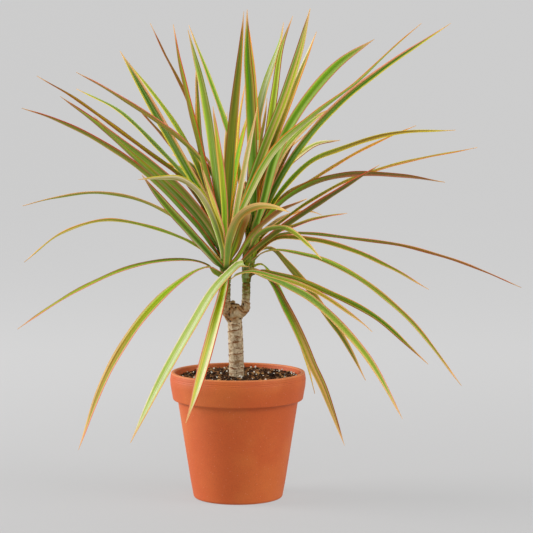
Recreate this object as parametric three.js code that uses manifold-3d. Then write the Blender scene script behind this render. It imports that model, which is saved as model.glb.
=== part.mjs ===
// A two-stemmed dracaena marginata in a plain clay pot, in millimetres, +Z up.
// The origin is the middle of the pot's foot, on the surface that it stands on.
// The plant's best side faces -Y.

import * as THREE from "three";
import { mergeVertices } from "three/addons/utils/BufferGeometryUtils.js";
import Module from "manifold-3d";

// ---- Driving dimensions, mm ----

// Pot
const POT_HEIGHT = 140;
const RIM_RADIUS = 75;
const RIM_TOP_BULGE = 132; // height at which the rim band is widest
const RIM_FOOT_RADIUS = 72;
const RIM_FOOT = 109.5; // height of the rim band's lower edge
const RIM_FOOT_RISE = 2; // height of the rounding at that edge
const RIM_SHOULDER_DROP = 6; // the band is nearly as wide this far below the bulge
const RIM_SHOULDER_STEP = 0.4; // and this much slimmer there
const RIM_UNDERCUT = 1.5; // rounding under the rim band, outwards
const RIM_UNDERCUT_RISE = 2.8; // and upwards
const BODY_TOP_RADIUS = 66;
const BODY_TOP = 105;
const FOOT_RADIUS = 49.6;
const FOOT_ROUNDING = 3;
const LIP_RADIUS = 1.6; // rounding on both edges of the lip
const LIP_OUTER_RADIUS = 74;
const LIP_INNER_RADIUS = 69.6;
const MOUTH_RADIUS = 69.2; // of the inner wall behind the bulge
const WALL = 5;
const FLOOR = 7;
const DRAIN_RADIUS = 5.5;
const DRAIN_CIRCLE = 24; // drain holes stand this far from the middle
const DRAIN_COUNT = 3;
const DRAIN_START = 30; // direction of the first hole, in degrees
const DRAIN_SIDES = 16;
const POT_SIDES = 40;
const ROUNDING_STEPS = 3;

// Potting mix
const FIT_GAP = 0.3; // clearance between pieces that touch
const SOIL_EDGE_HEIGHT = 132;
const SOIL_CROWN = 4.5; // how far the mix rises towards the cane
const SOIL_LUMP = 1.3;
const LUMP_PITCH = [0.31, 0.27]; // of the broad lumps along x and y, in radians a mm
const LUMP_SHIFT = [1.3, 0.4];
const FINE_LUMP_PITCH = [0.57, -0.49];
const FINE_LUMP_SHARE = 0.6; // of a fine lump's height in a broad one's
const SOIL_SIDES = 36;
const SOIL_RINGS = 8;

// Cane and branches, their middle lines as x, y, z from the lower end up
const CANE_FOOT = 78; // lower end of the cane, down in the mix
const CANE_CUT = 214.5; // height of the old cut at its top
const CANE_LINE = [
  [-1.2, 0, CANE_FOOT],
  [-1.6, 0, 138],
  [-2.5, 0, 175],
  [-3.4, 0, 195],
  [-3.8, 0, CANE_CUT],
];
const CANE_FOOT_RADIUS = 8.4;
const CANE_WAIST = 190; // height of the cane's slimmest place
const CANE_WAIST_RADIUS = 7.9;
const CANE_CUT_RADIUS = 5.6;
const CANE_SWELL = 0.9; // where the branches leave
const CANE_HOLE_RADIUS = 9.2; // of the plain hole in the mix
const CANE_HOLE_SIDES = 24;
const CANE_SIDES = 12;
const CANE_STEP = 3.9; // spacing of the cane's sections
const CANE_RING_SPACING = 7.8;
const CANE_RING_DEPTH = 0.35;
const KNOB_LINE = [
  [-5.2, -0.3, 207],
  [-5.4, -0.5, 219],
]; // the dead tip that stands on the old cut
const KNOB_RADIUS = 3.3;
const KNOB_DOME = 0.7; // the share of its height where it begins to round off
const KNOB_TOP_SHARE = 0.35; // the flat left on its top, as a share of its radius
const BRANCH_TOP = 238;
const LEFT_BRANCH_LINE = [
  [-4, 0, 201],
  [-10.3, -2, 204.3],
  [-12.9, -3.4, 210],
  [-12.8, -4, 219],
  [-12.5, -4, 232],
  [-12.5, -4, BRANCH_TOP],
];
const RIGHT_BRANCH_LINE = [
  [-2, 1, 204],
  [4, 2.3, 206.3],
  [7.8, 3.4, 210.5],
  [8.8, 4, 219],
  [9.2, 4, 232],
  [9.3, 4, BRANCH_TOP],
];
const BRANCH_RADIUS = 4.3;
const ELBOW_SWELL = 1.5; // how much thicker a branch is where it leaves the cane
const ELBOW_RANGE = [208, 216]; // heights between which that fades out
const BRANCH_SIDES = 10;
const BRANCH_STEP = 3;
const BRANCH_RING_SPACING = 6;
const BRANCH_RING_DEPTH = 0.2;

// Leaves
const LEAF_WIDTH = 10.5;
const LEAF_THICKNESS = 1.3; // at the midrib
const LEAF_FOLD = 0.9; // how far the edges stand above the midrib
const LEAF_TAPER = 0.45;
const LEAF_SEGMENTS = 9;
const TIP_SHARE = 0.05; // the tip's width and thickness, as a share of the blade's
const TIP_FALLOFF = 1.35; // above 1 it narrows late, to a blunter tip
const ROOT_SHARE = 0.7; // the blade's width where it leaves the stem
const SLOPE_REACH = 0.02; // a blade's direction is taken over this share to each side
const TURN_SHARE = 0.4; // how far out the blade is turned to show the width it is seen with
const STEM_PULL = 0.6; // how much a blade's upper face looks to the stem, beside upwards
const SEGMENT_CROWDING = 1.3; // above 1 a blade's segments are shorter towards its root
const EDGE_RANGE = [0.05, 0.35]; // shares between which a blade turns flat from its root
const TWIST_RANGE = [0.3, 0.7]; // shares of its length between which a blade twists
const STEM_RADIUS = 4.8; // of a head's green stem at its foot
const STEM_SWELL = 4.6;
const STEM_TAPER = 2;
const STEM_RISE = 6; // how far a stem goes straight up before it bends
const STEM_SIDES = 10;
const STEM_STEPS = 7;
const SLIVER = 0.03; // a finer detail than this, left where blades join, is smoothed away

// The leaves are drawn as they are seen from the front, from this point, on the
// upright plane through the pot's axis. Each is then bent back or forward along
// the line of sight, so it keeps that outline at its real depth.
const FRONT_EYE = new THREE.Vector3(31.5, -2300, 465);

// ---- Leaves, one row each ----
// line: the midrib from root to tip, as x, z on the drawing plane
// tip: the depth of the tip, y, negative towards the front
// bow: how the leaf gets there, below 1 early and above 1 late
// shown: the width that the front view shows, so how far the blade is turned
// Some rows add to that:
// width: the blade's own width, where it isn't LEAF_WIDTH
// taper: the share of its length where it begins to narrow, where it isn't LEAF_TAPER
// twist: how many degrees further the blade turns on its way to the tip
// edge: how far it is turned on edge at its root, from 0 to 1

const LEFT_LEAVES = [
  {
    line: [
      [-14, 243], [-23.6, 247.5], [-31, 256.2], [-43.8, 261.6], [-63.5, 263.6], [-110, 257.5], [-160, 238],
      [-205, 213], [-243, 187],
    ],
    tip: -90, bow: 1, shown: 3.3, edge: 0.5,
  },
  {
    line: [
      [-14, 250], [-25, 262], [-36, 272.5], [-47.5, 280], [-60, 286.5], [-95, 299], [-145, 307],
      [-195, 292], [-235, 261],
    ],
    tip: 110, bow: 1, shown: 3,
  },
  {
    line: [[-14, 256], [-36, 280], [-60, 303], [-100, 326], [-150, 337], [-200, 332], [-236, 323]],
    tip: -60, bow: 1, shown: 3,
  },
  {
    line: [
      [-13, 243], [-18.5, 249], [-24.1, 253], [-30.9, 255.6], [-43.8, 252.4], [-57.9, 243.8], [-86, 220.6],
      [-118, 182], [-148, 130], [-177, 52],
    ],
    tip: -100, bow: 0.65, shown: 8, edge: 0.9,
  },
  {
    line: [[-13, 245], [-17, 226], [-25, 195], [-37, 150], [-50, 105], [-58, 82]],
    tip: -140, bow: 0.6, shown: 11.5, width: 12,
  },
  {
    line: [[-14, 260], [-20, 285], [-30, 315], [-45, 340], [-65, 353], [-85, 354], [-109, 352]],
    tip: -190, bow: 0.9, shown: 6.5,
  },
  {
    line: [[-15, 252], [-30, 268], [-50, 291], [-80, 325], [-105, 357]],
    tip: -170, bow: 0.9, shown: 8.5,
  },
  {
    line: [[-15, 258], [-40, 295], [-60, 318], [-100, 358], [-150, 393], [-200, 418], [-236, 430]],
    tip: -60, bow: 1, shown: 5.5,
  },
  {
    line: [[-14, 264], [-40, 305], [-70, 338], [-110, 375], [-150, 411], [-194, 443]],
    tip: -110, bow: 1, shown: 7.5,
  },
  {
    line: [[-15, 268], [-30, 300], [-60, 338], [-100, 373], [-140, 405], [-157, 421]],
    tip: -160, bow: 1, shown: 7,
  },
  {
    line: [[-14, 272], [-30, 308], [-60, 352], [-100, 383], [-140, 413], [-180, 442], [-219, 465]],
    tip: 60, bow: 1, shown: 4,
  },
  {
    line: [[-15, 276], [-30, 318], [-55, 351], [-90, 389], [-130, 427], [-176, 451]],
    tip: 150, bow: 1, shown: 4.5,
  },
  {
    line: [[-14, 283], [-22, 345], [-40, 373], [-70, 402], [-110, 430], [-150, 455], [-176, 469]],
    tip: -40, bow: 1, shown: 4.8,
  },
  {
    line: [[-15, 280], [-40, 345], [-75, 391], [-100, 420], [-112, 432]],
    tip: 160, bow: 1, shown: 4,
  },
  {
    line: [[-15, 262], [-30, 318], [-50, 354], [-80, 408], [-110, 461], [-128, 492]],
    tip: 30, bow: 1, shown: 10, taper: 0.6,
  },
  {
    line: [[-15, 270], [-31, 330], [-53, 385], [-80, 429], [-121, 482]],
    tip: 110, bow: 1.2, shown: 5,
  },
  {
    line: [[-15, 274], [-26, 330], [-42, 385], [-55, 438], [-80, 490], [-95, 522]],
    tip: 130, bow: 1.2, shown: 3.5,
  },
  {
    line: [[-14, 278], [-26, 325], [-40, 380], [-52, 430], [-63, 480], [-70, 521]],
    tip: -60, bow: 1.2, shown: 5.5,
  },
  {
    line: [[-14, 286], [-21, 330], [-30, 400], [-39.3, 455], [-54, 515]],
    tip: -100, bow: 1.3, shown: 8.5,
  },
  {
    line: [[-15, 284], [-28, 325], [-42, 395], [-44.5, 450], [-45.5, 476]],
    tip: 110, bow: 1.3, shown: 7,
  },
  {
    line: [[-13, 266], [-13, 300], [-9.6, 360], [-4.6, 420], [2.7, 489], [6.9, 535]],
    tip: -60, bow: 0.8, shown: 11, width: 11.2, taper: 0.3,
  },
  {
    line: [[-14, 254], [-15, 320], [-18, 360], [-27, 432]],
    tip: -130, bow: 1.2, shown: 7,
  },
  {
    line: [[-13, 253], [-8, 290], [3, 312], [20, 322], [40, 322], [57, 316]],
    tip: -200, bow: 0.8, shown: 8,
  },
  {
    line: [[-15, 265], [-18, 295], [-28, 330], [-38, 362]],
    tip: -170, bow: 1, shown: 5,
  },
  {
    line: [[-13, 261], [-3, 300], [10, 331], [40, 384], [80, 420], [130, 458], [170, 496], [200, 522]],
    tip: -70, bow: 0.6, shown: 8, twist: 32,
  },
  {
    line: [[-13, 269], [-3, 300], [12, 340], [30, 389], [49.6, 438], [65.8, 487], [79, 538]],
    tip: -40, bow: 0.6, shown: 10, taper: 0.65,
  },
  {
    line: [[-13, 257], [-5, 300], [3, 340], [13, 390], [21.5, 431]],
    tip: -120, bow: 0.8, shown: 5.5,
  },
  {
    line: [[-14, 288], [-8, 330], [0, 375], [12, 428]],
    tip: 30, bow: 1, shown: 6,
  },
  {
    line: [[-14, 282], [-8.5, 306], [-4.6, 330], [-1.8, 350], [-0.5, 375], [1, 410], [8, 456]],
    tip: 60, bow: 1, shown: 3.5,
  },
  {
    line: [[-13, 255], [-2, 264], [16, 291], [35, 309], [49, 319], [62, 325], [76, 331]],
    tip: -140, bow: 0.95, shown: 5,
  },
  {
    line: [
      [-12, 240.5], [-8.7, 241.5], [-5.5, 244], [-2.5, 246.4], [3.1, 248.4], [9, 250], [16, 250.6],
      [27, 248.7], [38.2, 245.2], [52.9, 241], [64.1, 237.4], [75.4, 233], [90.5, 225.6], [135, 195.5],
      [148, 184],
    ],
    tip: -110, bow: 0.6, shown: 4.3, edge: 0.5,
  },
  {
    line: [
      [-12, 243], [-8, 246], [-3, 251.5], [3.6, 260], [11, 267.8], [18, 274.5], [45, 296],
      [80, 320], [120, 346], [155, 368],
    ],
    tip: -170, bow: 1.8, shown: 6, edge: 0.3,
  },
  {
    line: [
      [-13, 256], [-8, 264], [-4.2, 273], [-0.8, 282], [3.5, 295], [7.6, 306], [11, 316],
      [13.5, 325],
    ],
    tip: -25, bow: 0.8, shown: 9, width: 10, taper: 0.7,
  },
  {
    line: [[-13, 239.5], [-17.5, 243], [-22.5, 248], [-27, 252], [-31, 254.8]],
    tip: -20, bow: 0.8, shown: 6, width: 7, taper: 0.5,
  },
];

const RIGHT_LEAVES = [
  {
    line: [
      [10, 254], [6, 259.6], [1, 259.3], [-5, 254.2], [-10, 249.2], [-17.7, 241.4], [-28.8, 227.5],
      [-50.3, 191.4], [-88.3, 124], [-119.3, 60],
    ],
    tip: -120, bow: 0.6, shown: 9.9, width: 10.8,
  },
  {
    line: [[13, 276], [4, 340], [-5, 385], [-25, 446], [-53, 520]],
    tip: 110, bow: 0.8, shown: 5.5,
  },
  {
    line: [[12, 258], [28, 278], [46, 291], [80, 292], [130, 286], [180, 279], [250, 259], [312, 233]],
    tip: 60, bow: 1, shown: 3,
  },
  {
    line: [[12, 261], [24, 274], [42, 287], [80, 286], [120, 276], [170, 254], [210, 231]],
    tip: 140, bow: 1, shown: 5,
  },
  {
    line: [
      [11, 250], [15.5, 258], [20.8, 266], [26.4, 270.8], [33.7, 273.3], [41.6, 274.3], [50, 273.7],
      [61.9, 271.7], [75.4, 268.7], [90.5, 264.5], [130, 245], [190, 196], [247, 124],
    ],
    tip: -60, bow: 1, shown: 5, edge: 0.8,
  },
  {
    line: [
      [11, 244], [20, 249.5], [28.1, 251], [37, 249.2], [50, 246.2], [63, 242.8], [75.4, 237.8],
      [100, 227], [150, 201], [210, 148],
    ],
    tip: -100, bow: 1, shown: 5.7, edge: 0.3,
  },
  {
    line: [
      [10, 243.5], [15, 246], [24, 249.5], [31, 247], [38.8, 238], [54, 210], [63, 192.3],
      [74.4, 167], [83, 146.2], [94.8, 121], [118, 57],
    ],
    tip: -100, bow: 1.1, shown: 9.5, edge: 0.6,
  },
  {
    line: [
      [11, 256], [19, 269], [27, 275], [34, 276.6], [41.5, 273], [50.2, 263.8], [65.4, 246.6],
      [79.3, 229.8], [105, 192.3], [112.9, 181.6], [123.4, 164.2], [141, 130],
    ],
    tip: 90, bow: 0.8, shown: 7.6, edge: 0.8,
  },
  {
    line: [
      [11, 250], [19, 256.5], [24.7, 258.6], [30, 256.5], [34.3, 251.9], [43.9, 236.7], [55, 213],
      [63.5, 190], [70.5, 169], [75.6, 153], [81.2, 131], [85, 115],
    ],
    tip: 60, bow: 0.8, shown: 3.5, edge: 0.4,
  },
  {
    line: [[13, 264], [20, 288], [38, 298], [55, 297], [77.3, 280.3], [92.5, 264]],
    tip: -200, bow: 1.3, shown: 5,
  },
  {
    line: [[13, 267], [34, 289], [60, 300], [90, 310], [120, 315]],
    tip: 200, bow: 1, shown: 3.5,
  },
  {
    line: [[13, 270], [22, 288], [40, 304], [60, 314], [80, 317], [92, 313]],
    tip: 200, bow: 1, shown: 3.5,
  },
  {
    line: [[13, 262], [26, 288], [50, 307], [80, 328], [120, 350], [180, 370], [262, 387]],
    tip: 80, bow: 1, shown: 3,
  },
  {
    line: [[14, 272], [25, 300], [50, 329], [80, 347], [120, 357], [180, 356], [227, 349]],
    tip: -80, bow: 1, shown: 5.5,
  },
  {
    line: [[14, 275], [30, 310], [55, 337], [80, 350], [120, 375], [160, 396], [195, 411]],
    tip: 120, bow: 1, shown: 3,
  },
  {
    line: [[14, 278], [28, 308], [50, 341], [80, 371], [110, 384], [170, 402], [238, 406]],
    tip: 40, bow: 1, shown: 5,
  },
  {
    line: [[15, 281], [24, 312], [33.5, 338], [50, 361.5], [66.5, 378], [87, 391], [112, 395]],
    tip: 180, bow: 1, shown: 6.5, taper: 0.6,
  },
  {
    line: [[13, 266], [25, 305], [40, 341], [70, 389], [110, 434], [160, 474], [232, 522]],
    tip: 60, bow: 1, shown: 7.5,
  },
  {
    line: [[15, 284], [30, 335], [50, 383], [85, 419], [108, 432]],
    tip: 130, bow: 1, shown: 9,
  },
  {
    line: [[14, 280], [27.5, 325], [43.2, 381.5], [68.3, 429.5], [109, 477.5], [149, 505]],
    tip: -30, bow: 1, shown: 10.4, taper: 0.68,
  },
  {
    line: [[15, 286], [22, 340], [41.5, 398], [62, 452], [86, 513]],
    tip: 90, bow: 1, shown: 8,
  },
  {
    line: [[15, 288], [20, 340], [32, 390], [41, 450], [47.6, 494], [60, 530]],
    tip: 30, bow: 1, shown: 8.3,
  },
  {
    line: [
      [14, 283], [17, 345], [20.6, 406], [22.5, 423], [30.4, 455], [38.3, 478], [46.7, 503],
      [50.1, 523],
    ],
    tip: 60, bow: 1, shown: 9,
  },
  {
    line: [
      [14, 277], [17.2, 330], [16.3, 372], [15.2, 406], [13.1, 456], [11.4, 478], [10.6, 500],
      [10.4, 537],
    ],
    tip: 20, bow: 1, shown: 11, width: 11.1, taper: 0.55,
  },
  {
    line: [[16, 290], [22, 340], [45, 375], [75, 402]],
    tip: 130, bow: 1, shown: 4,
  },
  {
    line: [[13, 274], [20, 300], [27, 345], [36, 388]],
    tip: 60, bow: 1, shown: 8,
  },
  {
    line: [[14, 285], [30, 330], [52, 378], [70, 408]],
    tip: 100, bow: 1, shown: 7,
  },
  {
    line: [
      [7, 249.5], [12, 252], [19.1, 251], [27.5, 247.2], [37.1, 243.3], [45, 239.9], [58.5, 233],
      [80, 220.8], [120, 183.3], [150, 145], [182, 87],
    ],
    tip: -130, bow: 0.6, shown: 7.7,
  },
  {
    line: [
      [15, 280], [20, 340], [20, 400], [18, 440], [15.4, 478], [13.3, 500], [11.2, 520],
      [10.7, 532],
    ],
    tip: 60, bow: 1, shown: 9,
  },
  {
    line: [[15, 284], [20, 340], [25.3, 392], [29.3, 417], [32.1, 441]],
    tip: 60, bow: 1, shown: 4,
  },
  {
    line: [[14, 286], [19, 340], [24, 392], [25.3, 421]],
    tip: 90, bow: 1, shown: 3,
  },
];

// The leaves at the back fan out between these limits, each one drawn by lot.
const BACK_LEAVES = 8;
const BACK_ROOT_STEP = 3.3; // each leaves the stem this much above the last
const BACK_RISE = [60, 90]; // height gained in the first part of a back leaf
const BACK_TIP_HEIGHT = [325, 430];
const BACK_TIP_DEPTH = [170, 250];
const BACK_SHOWN = [5, 9];
const BACK_REACH = [0.25, 0.6]; // how far the two points between are towards the tip
const BACK_LIFT = [-20, 8]; // and how far they are above the rise and the crest's middle

// Each head: where its stem starts, bends and ends (x, or x and z), its depth y,
// the range of its back leaves' tips in x, and its leaves.
const LEFT_HEAD = {
  seed: 11,
  foot: -12.5,
  root: [-14, 262],
  top: [-17, 318],
  depth: -4,
  fan: [-85, -8],
  leaves: LEFT_LEAVES,
};
const RIGHT_HEAD = {
  seed: 23,
  foot: 9.3,
  root: [12, 262],
  top: [21, 318],
  depth: 4,
  fan: [0, 45],
  leaves: RIGHT_LEAVES,
};

// ---- Helpers ----

const wasm = await Module();
wasm.setup();

/** A closed geometry with its shared vertices merged, as a solid for joins and cuts. */
function toSolid(geometry) {
  const bare = geometry.clone();
  bare.deleteAttribute("normal");
  bare.deleteAttribute("uv");
  const merged = mergeVertices(bare);
  return new wasm.Manifold(
    new wasm.Mesh({
      numProp: 3,
      vertProperties: new Float32Array(merged.attributes.position.array),
      triVerts: new Uint32Array(merged.index.array),
    }),
  );
}

/** A solid back as a geometry. */
function toGeometry(solid) {
  const mesh = solid.getMesh();
  const geometry = new THREE.BufferGeometry();
  geometry.setAttribute("position", new THREE.BufferAttribute(mesh.vertProperties, 3));
  geometry.setIndex(new THREE.BufferAttribute(mesh.triVerts, 1));
  geometry.computeVertexNormals();
  return geometry;
}

/** All the solids of a list joined into one. */
function joinAll(solids) {
  return solids.reduce((joined, solid) => joined.add(solid));
}

/** The outer body of a joined solid, with the hollows that joining sealed filled. */
function outerBody(solid) {
  const bodies = solid.simplify(SLIVER).decompose();
  return bodies.reduce((best, body) => (body.volume() > best.volume() ? body : best));
}

const DRAW_FACTOR = 16807;
const DRAW_MODULUS = 2147483647;

/** A repeatable run of numbers from 0 to 1. */
function seededDraws(seed) {
  let state = seed;
  return () => {
    state = (state * DRAW_FACTOR) % DRAW_MODULUS;
    return state / DRAW_MODULUS;
  };
}

/** A body turned from a profile of radius and height pairs about the upright axis. */
function turned(profile, sides) {
  const points = profile.map(([radius, height]) => new THREE.Vector2(radius, height));
  return new THREE.LatheGeometry(points, sides).rotateX(Math.PI / 2);
}

/** Points of a quarter turn in a profile, from one direction to the next, in degrees. */
function roundedEdge(radius, height, rounding, fromDegrees, toDegrees) {
  const points = [];
  for (let step = 0; step <= ROUNDING_STEPS; step += 1) {
    const degrees = THREE.MathUtils.lerp(fromDegrees, toDegrees, step / ROUNDING_STEPS);
    const angle = THREE.MathUtils.degToRad(degrees);
    points.push([radius + rounding * Math.cos(angle), height + rounding * Math.sin(angle)]);
  }
  return points;
}

/** A round rod along a curve, cut flat at its ends, its radius given along the way. */
function rod(curve, radiusAt, sides, steps) {
  const geometry = new THREE.CylinderGeometry(1, 1, 1, sides, steps);
  const position = geometry.attributes.position;
  const vertex = new THREE.Vector3();
  for (let index = 0; index < position.count; index += 1) {
    vertex.fromBufferAttribute(position, index);
    const share = THREE.MathUtils.clamp(vertex.y + 0.5, 0, 1);
    const along = curve.getTangentAt(share);
    const across = new THREE.Vector3(0, -1, 0).cross(along).normalize();
    const outward = new THREE.Vector3().crossVectors(along, across);
    const radius = radiusAt(share);
    const place = curve.getPointAt(share);
    place.addScaledVector(across, vertex.x * radius);
    place.addScaledVector(outward, -vertex.z * radius);
    position.setXYZ(index, place.x, place.y, place.z);
  }
  return toSolid(geometry);
}

/** A curve through points that are given as x, y, z. */
function curveThrough(points) {
  return new THREE.CatmullRomCurve3(points.map((point) => new THREE.Vector3(...point)));
}

/** The real place of a point of the drawing plane when it lies at this depth. */
function atDepth(x, z, depth) {
  const spread = (depth - FRONT_EYE.y) / -FRONT_EYE.y;
  return new THREE.Vector3(
    FRONT_EYE.x + (x - FRONT_EYE.x) * spread,
    depth,
    FRONT_EYE.z + (z - FRONT_EYE.z) * spread,
  );
}

/** The width of a blade along its length, as a share of its full width. */
function bladeOutline(leaf, share) {
  const base = Math.min(1, ROOT_SHARE + share);
  const start = leaf.taper ?? LEAF_TAPER;
  if (share < start) {
    return base;
  }
  const run = (share - start) / (1 - start);
  return Math.max(TIP_SHARE, base * Math.cos((Math.PI / 2) * run ** TIP_FALLOFF));
}

/** The blade's middle line at a share of its length. */
function midribPoint(leaf, head, drawn, share) {
  const seen = drawn.getPointAt(share);
  const depth = head.depth + (leaf.tip - head.depth) * share ** leaf.bow;
  return atDepth(seen.x, seen.z, depth);
}

/** The direction of the blade's middle line at a share of its length. */
function midribDirection(leaf, head, drawn, share) {
  const before = midribPoint(leaf, head, drawn, Math.max(0, share - SLOPE_REACH));
  const after = midribPoint(leaf, head, drawn, Math.min(1, share + SLOPE_REACH));
  return after.sub(before).normalize();
}

/** The blade's width direction and its upper face's direction at one point of it. */
function bladeFrame(place, along, turn) {
  const toEye = FRONT_EYE.clone().sub(place).normalize();
  const flat = new THREE.Vector3().crossVectors(along, toEye).normalize();
  const deep = new THREE.Vector3().crossVectors(along, flat);
  const across = flat.multiplyScalar(Math.cos(turn)).addScaledVector(deep, Math.sin(turn));
  return { across, upper: new THREE.Vector3().crossVectors(across, along) };
}

/** Which way the blade is turned, so that its upper face looks up and to the stem. */
function naturalTurn(leaf, head, drawn) {
  const place = midribPoint(leaf, head, drawn, TURN_SHARE);
  const along = midribDirection(leaf, head, drawn, TURN_SHARE);
  const inward = new THREE.Vector3(head.root[0] - place.x, head.depth - place.y, 0);
  const upward = new THREE.Vector3(0, 0, 1).addScaledVector(inward.normalize(), STEM_PULL);
  const size = Math.acos(Math.min(1, leaf.shown / (leaf.width ?? LEAF_WIDTH)));
  const turns = [size, -size, Math.PI - size, Math.PI + size];
  const fit = (turn) => bladeFrame(place, along, turn).upper.dot(upward);
  return turns.reduce((best, turn) => (fit(turn) > fit(best) ? turn : best));
}

/** How the blade is turned at a share of its length. */
function turnAt(leaf, turn, share) {
  const twist = THREE.MathUtils.degToRad(leaf.twist ?? 0);
  const onEdge = (Math.round(turn / Math.PI - 0.5) + 0.5) * Math.PI;
  const edged = (leaf.edge ?? 0) * (1 - THREE.MathUtils.smoothstep(share, ...EDGE_RANGE));
  const twisted = twist * THREE.MathUtils.smoothstep(share, ...TWIST_RANGE);
  return THREE.MathUtils.lerp(turn, onEdge, edged) + twisted;
}

/** One strap leaf: a folded blade from the stem's middle to its fine tip. */
function leafSolid(leaf, head) {
  const drawn = curveThrough(leaf.line.map(([x, z]) => [x, 0, z]));
  const turn = naturalTurn(leaf, head, drawn);
  const width = leaf.width ?? LEAF_WIDTH;
  const geometry = new THREE.CylinderGeometry(1, 1, 1, 4, LEAF_SEGMENTS);
  const position = geometry.attributes.position;
  const vertex = new THREE.Vector3();
  for (let index = 0; index < position.count; index += 1) {
    vertex.fromBufferAttribute(position, index);
    const share = THREE.MathUtils.clamp(vertex.y + 0.5, 0, 1) ** SEGMENT_CROWDING;
    const place = midribPoint(leaf, head, drawn, share);
    const along = midribDirection(leaf, head, drawn, share);
    const { across, upper } = bladeFrame(place, along, turnAt(leaf, turn, share));
    const outline = bladeOutline(leaf, share);
    const thickness = LEAF_THICKNESS * Math.min(1, 2 * outline);
    place.addScaledVector(across, (vertex.x * width * outline) / 2);
    place.addScaledVector(upper, (vertex.z * thickness) / 2);
    place.addScaledVector(upper, Math.abs(vertex.x) * LEAF_FOLD * outline);
    position.setXYZ(index, place.x, place.y, place.z);
  }
  return toSolid(geometry);
}

/** The leaves that fill a head's back, drawn by lot. */
function backLeaves(head) {
  const draw = seededDraws(head.seed);
  const between = ([low, high]) => low + (high - low) * draw();
  const [rootX, rootZ] = head.root;
  const leaves = [];
  for (let index = 0; index < BACK_LEAVES; index += 1) {
    const place = (index + draw()) / BACK_LEAVES;
    const tipX = THREE.MathUtils.lerp(head.fan[0], head.fan[1], place);
    const tipZ = between(BACK_TIP_HEIGHT);
    const rise = rootZ + between(BACK_RISE);
    const crest = (rise + Math.max(rise, tipZ)) / 2;
    const reach = BACK_REACH.map((share) => THREE.MathUtils.lerp(rootX, tipX, share));
    leaves.push({
      line: [
        [rootX, rootZ + index * BACK_ROOT_STEP],
        [reach[0], rise + BACK_LIFT[0]],
        [reach[1], crest + BACK_LIFT[1]],
        [tipX, tipZ],
      ],
      tip: between(BACK_TIP_DEPTH),
      bow: 1,
      shown: between(BACK_SHOWN),
    });
  }
  return leaves;
}

// ---- Pieces ----

/** The clay pot: a tapered body, a rim band with a rounded lip, three drain holes. */
function potGeometry() {
  const bodySlope = (BODY_TOP_RADIUS - FOOT_RADIUS) / BODY_TOP;
  const footCentre = FOOT_RADIUS - FOOT_ROUNDING;
  const innerFoot = FOOT_RADIUS + bodySlope * FLOOR - WALL;
  const innerTop = BODY_TOP_RADIUS - WALL;
  const lipHeight = POT_HEIGHT - LIP_RADIUS;
  const profile = [
    [0, 0],
    ...roundedEdge(footCentre, FOOT_ROUNDING, FOOT_ROUNDING, -90, 0),
    [BODY_TOP_RADIUS, BODY_TOP],
    [BODY_TOP_RADIUS + RIM_UNDERCUT, BODY_TOP + RIM_UNDERCUT_RISE],
    [RIM_FOOT_RADIUS - RIM_UNDERCUT, RIM_FOOT],
    [RIM_FOOT_RADIUS, RIM_FOOT + RIM_FOOT_RISE],
    [RIM_RADIUS - RIM_SHOULDER_STEP, RIM_TOP_BULGE - RIM_SHOULDER_DROP],
    [RIM_RADIUS, RIM_TOP_BULGE],
    ...roundedEdge(LIP_OUTER_RADIUS - LIP_RADIUS, lipHeight, LIP_RADIUS, 0, 90),
    ...roundedEdge(LIP_INNER_RADIUS + LIP_RADIUS, lipHeight, LIP_RADIUS, 90, 180),
    [MOUTH_RADIUS, RIM_TOP_BULGE],
    [innerTop, BODY_TOP],
    [innerFoot, FLOOR],
    [0, FLOOR],
  ];
  const drains = [];
  for (let index = 0; index < DRAIN_COUNT; index += 1) {
    const angle = THREE.MathUtils.degToRad(DRAIN_START + (360 * index) / DRAIN_COUNT);
    const drain = new THREE.CylinderGeometry(DRAIN_RADIUS, DRAIN_RADIUS, 3 * FLOOR, DRAIN_SIDES);
    drain.rotateX(Math.PI / 2);
    drain.translate(DRAIN_CIRCLE * Math.cos(angle), DRAIN_CIRCLE * Math.sin(angle), 0);
    drains.push(toSolid(drain));
  }
  return toGeometry(toSolid(turned(profile, POT_SIDES)).subtract(joinAll(drains)));
}

/** The cane's radius by height: slightly waisted, swollen where the branches leave. */
function caneRadius(height) {
  if (height < CANE_WAIST) {
    const rise = (height - CANE_FOOT) / (CANE_WAIST - CANE_FOOT);
    return THREE.MathUtils.lerp(CANE_FOOT_RADIUS, CANE_WAIST_RADIUS, rise);
  }
  const rise = (height - CANE_WAIST) / (CANE_CUT - CANE_WAIST);
  const swell = CANE_SWELL * Math.sin(Math.PI * THREE.MathUtils.smoothstep(rise, 0, 1));
  return THREE.MathUtils.lerp(CANE_WAIST_RADIUS, CANE_CUT_RADIUS, rise) + swell;
}

/** The old leaf scars as shallow rings. */
function ringRelief(height, spacing, depth) {
  return depth * Math.cos((2 * Math.PI * height) / spacing);
}

/** A branch, thickest at its elbow. */
function branchSolid(line) {
  const curve = curveThrough(line);
  const steps = Math.round(curve.getLength() / BRANCH_STEP);
  const radiusAt = (share) => {
    const height = curve.getPointAt(share).z;
    const elbow = ELBOW_SWELL * (1 - THREE.MathUtils.smoothstep(height, ...ELBOW_RANGE));
    return BRANCH_RADIUS + elbow + ringRelief(height, BRANCH_RING_SPACING, BRANCH_RING_DEPTH);
  };
  return rod(curve, radiusAt, BRANCH_SIDES, steps);
}

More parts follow.
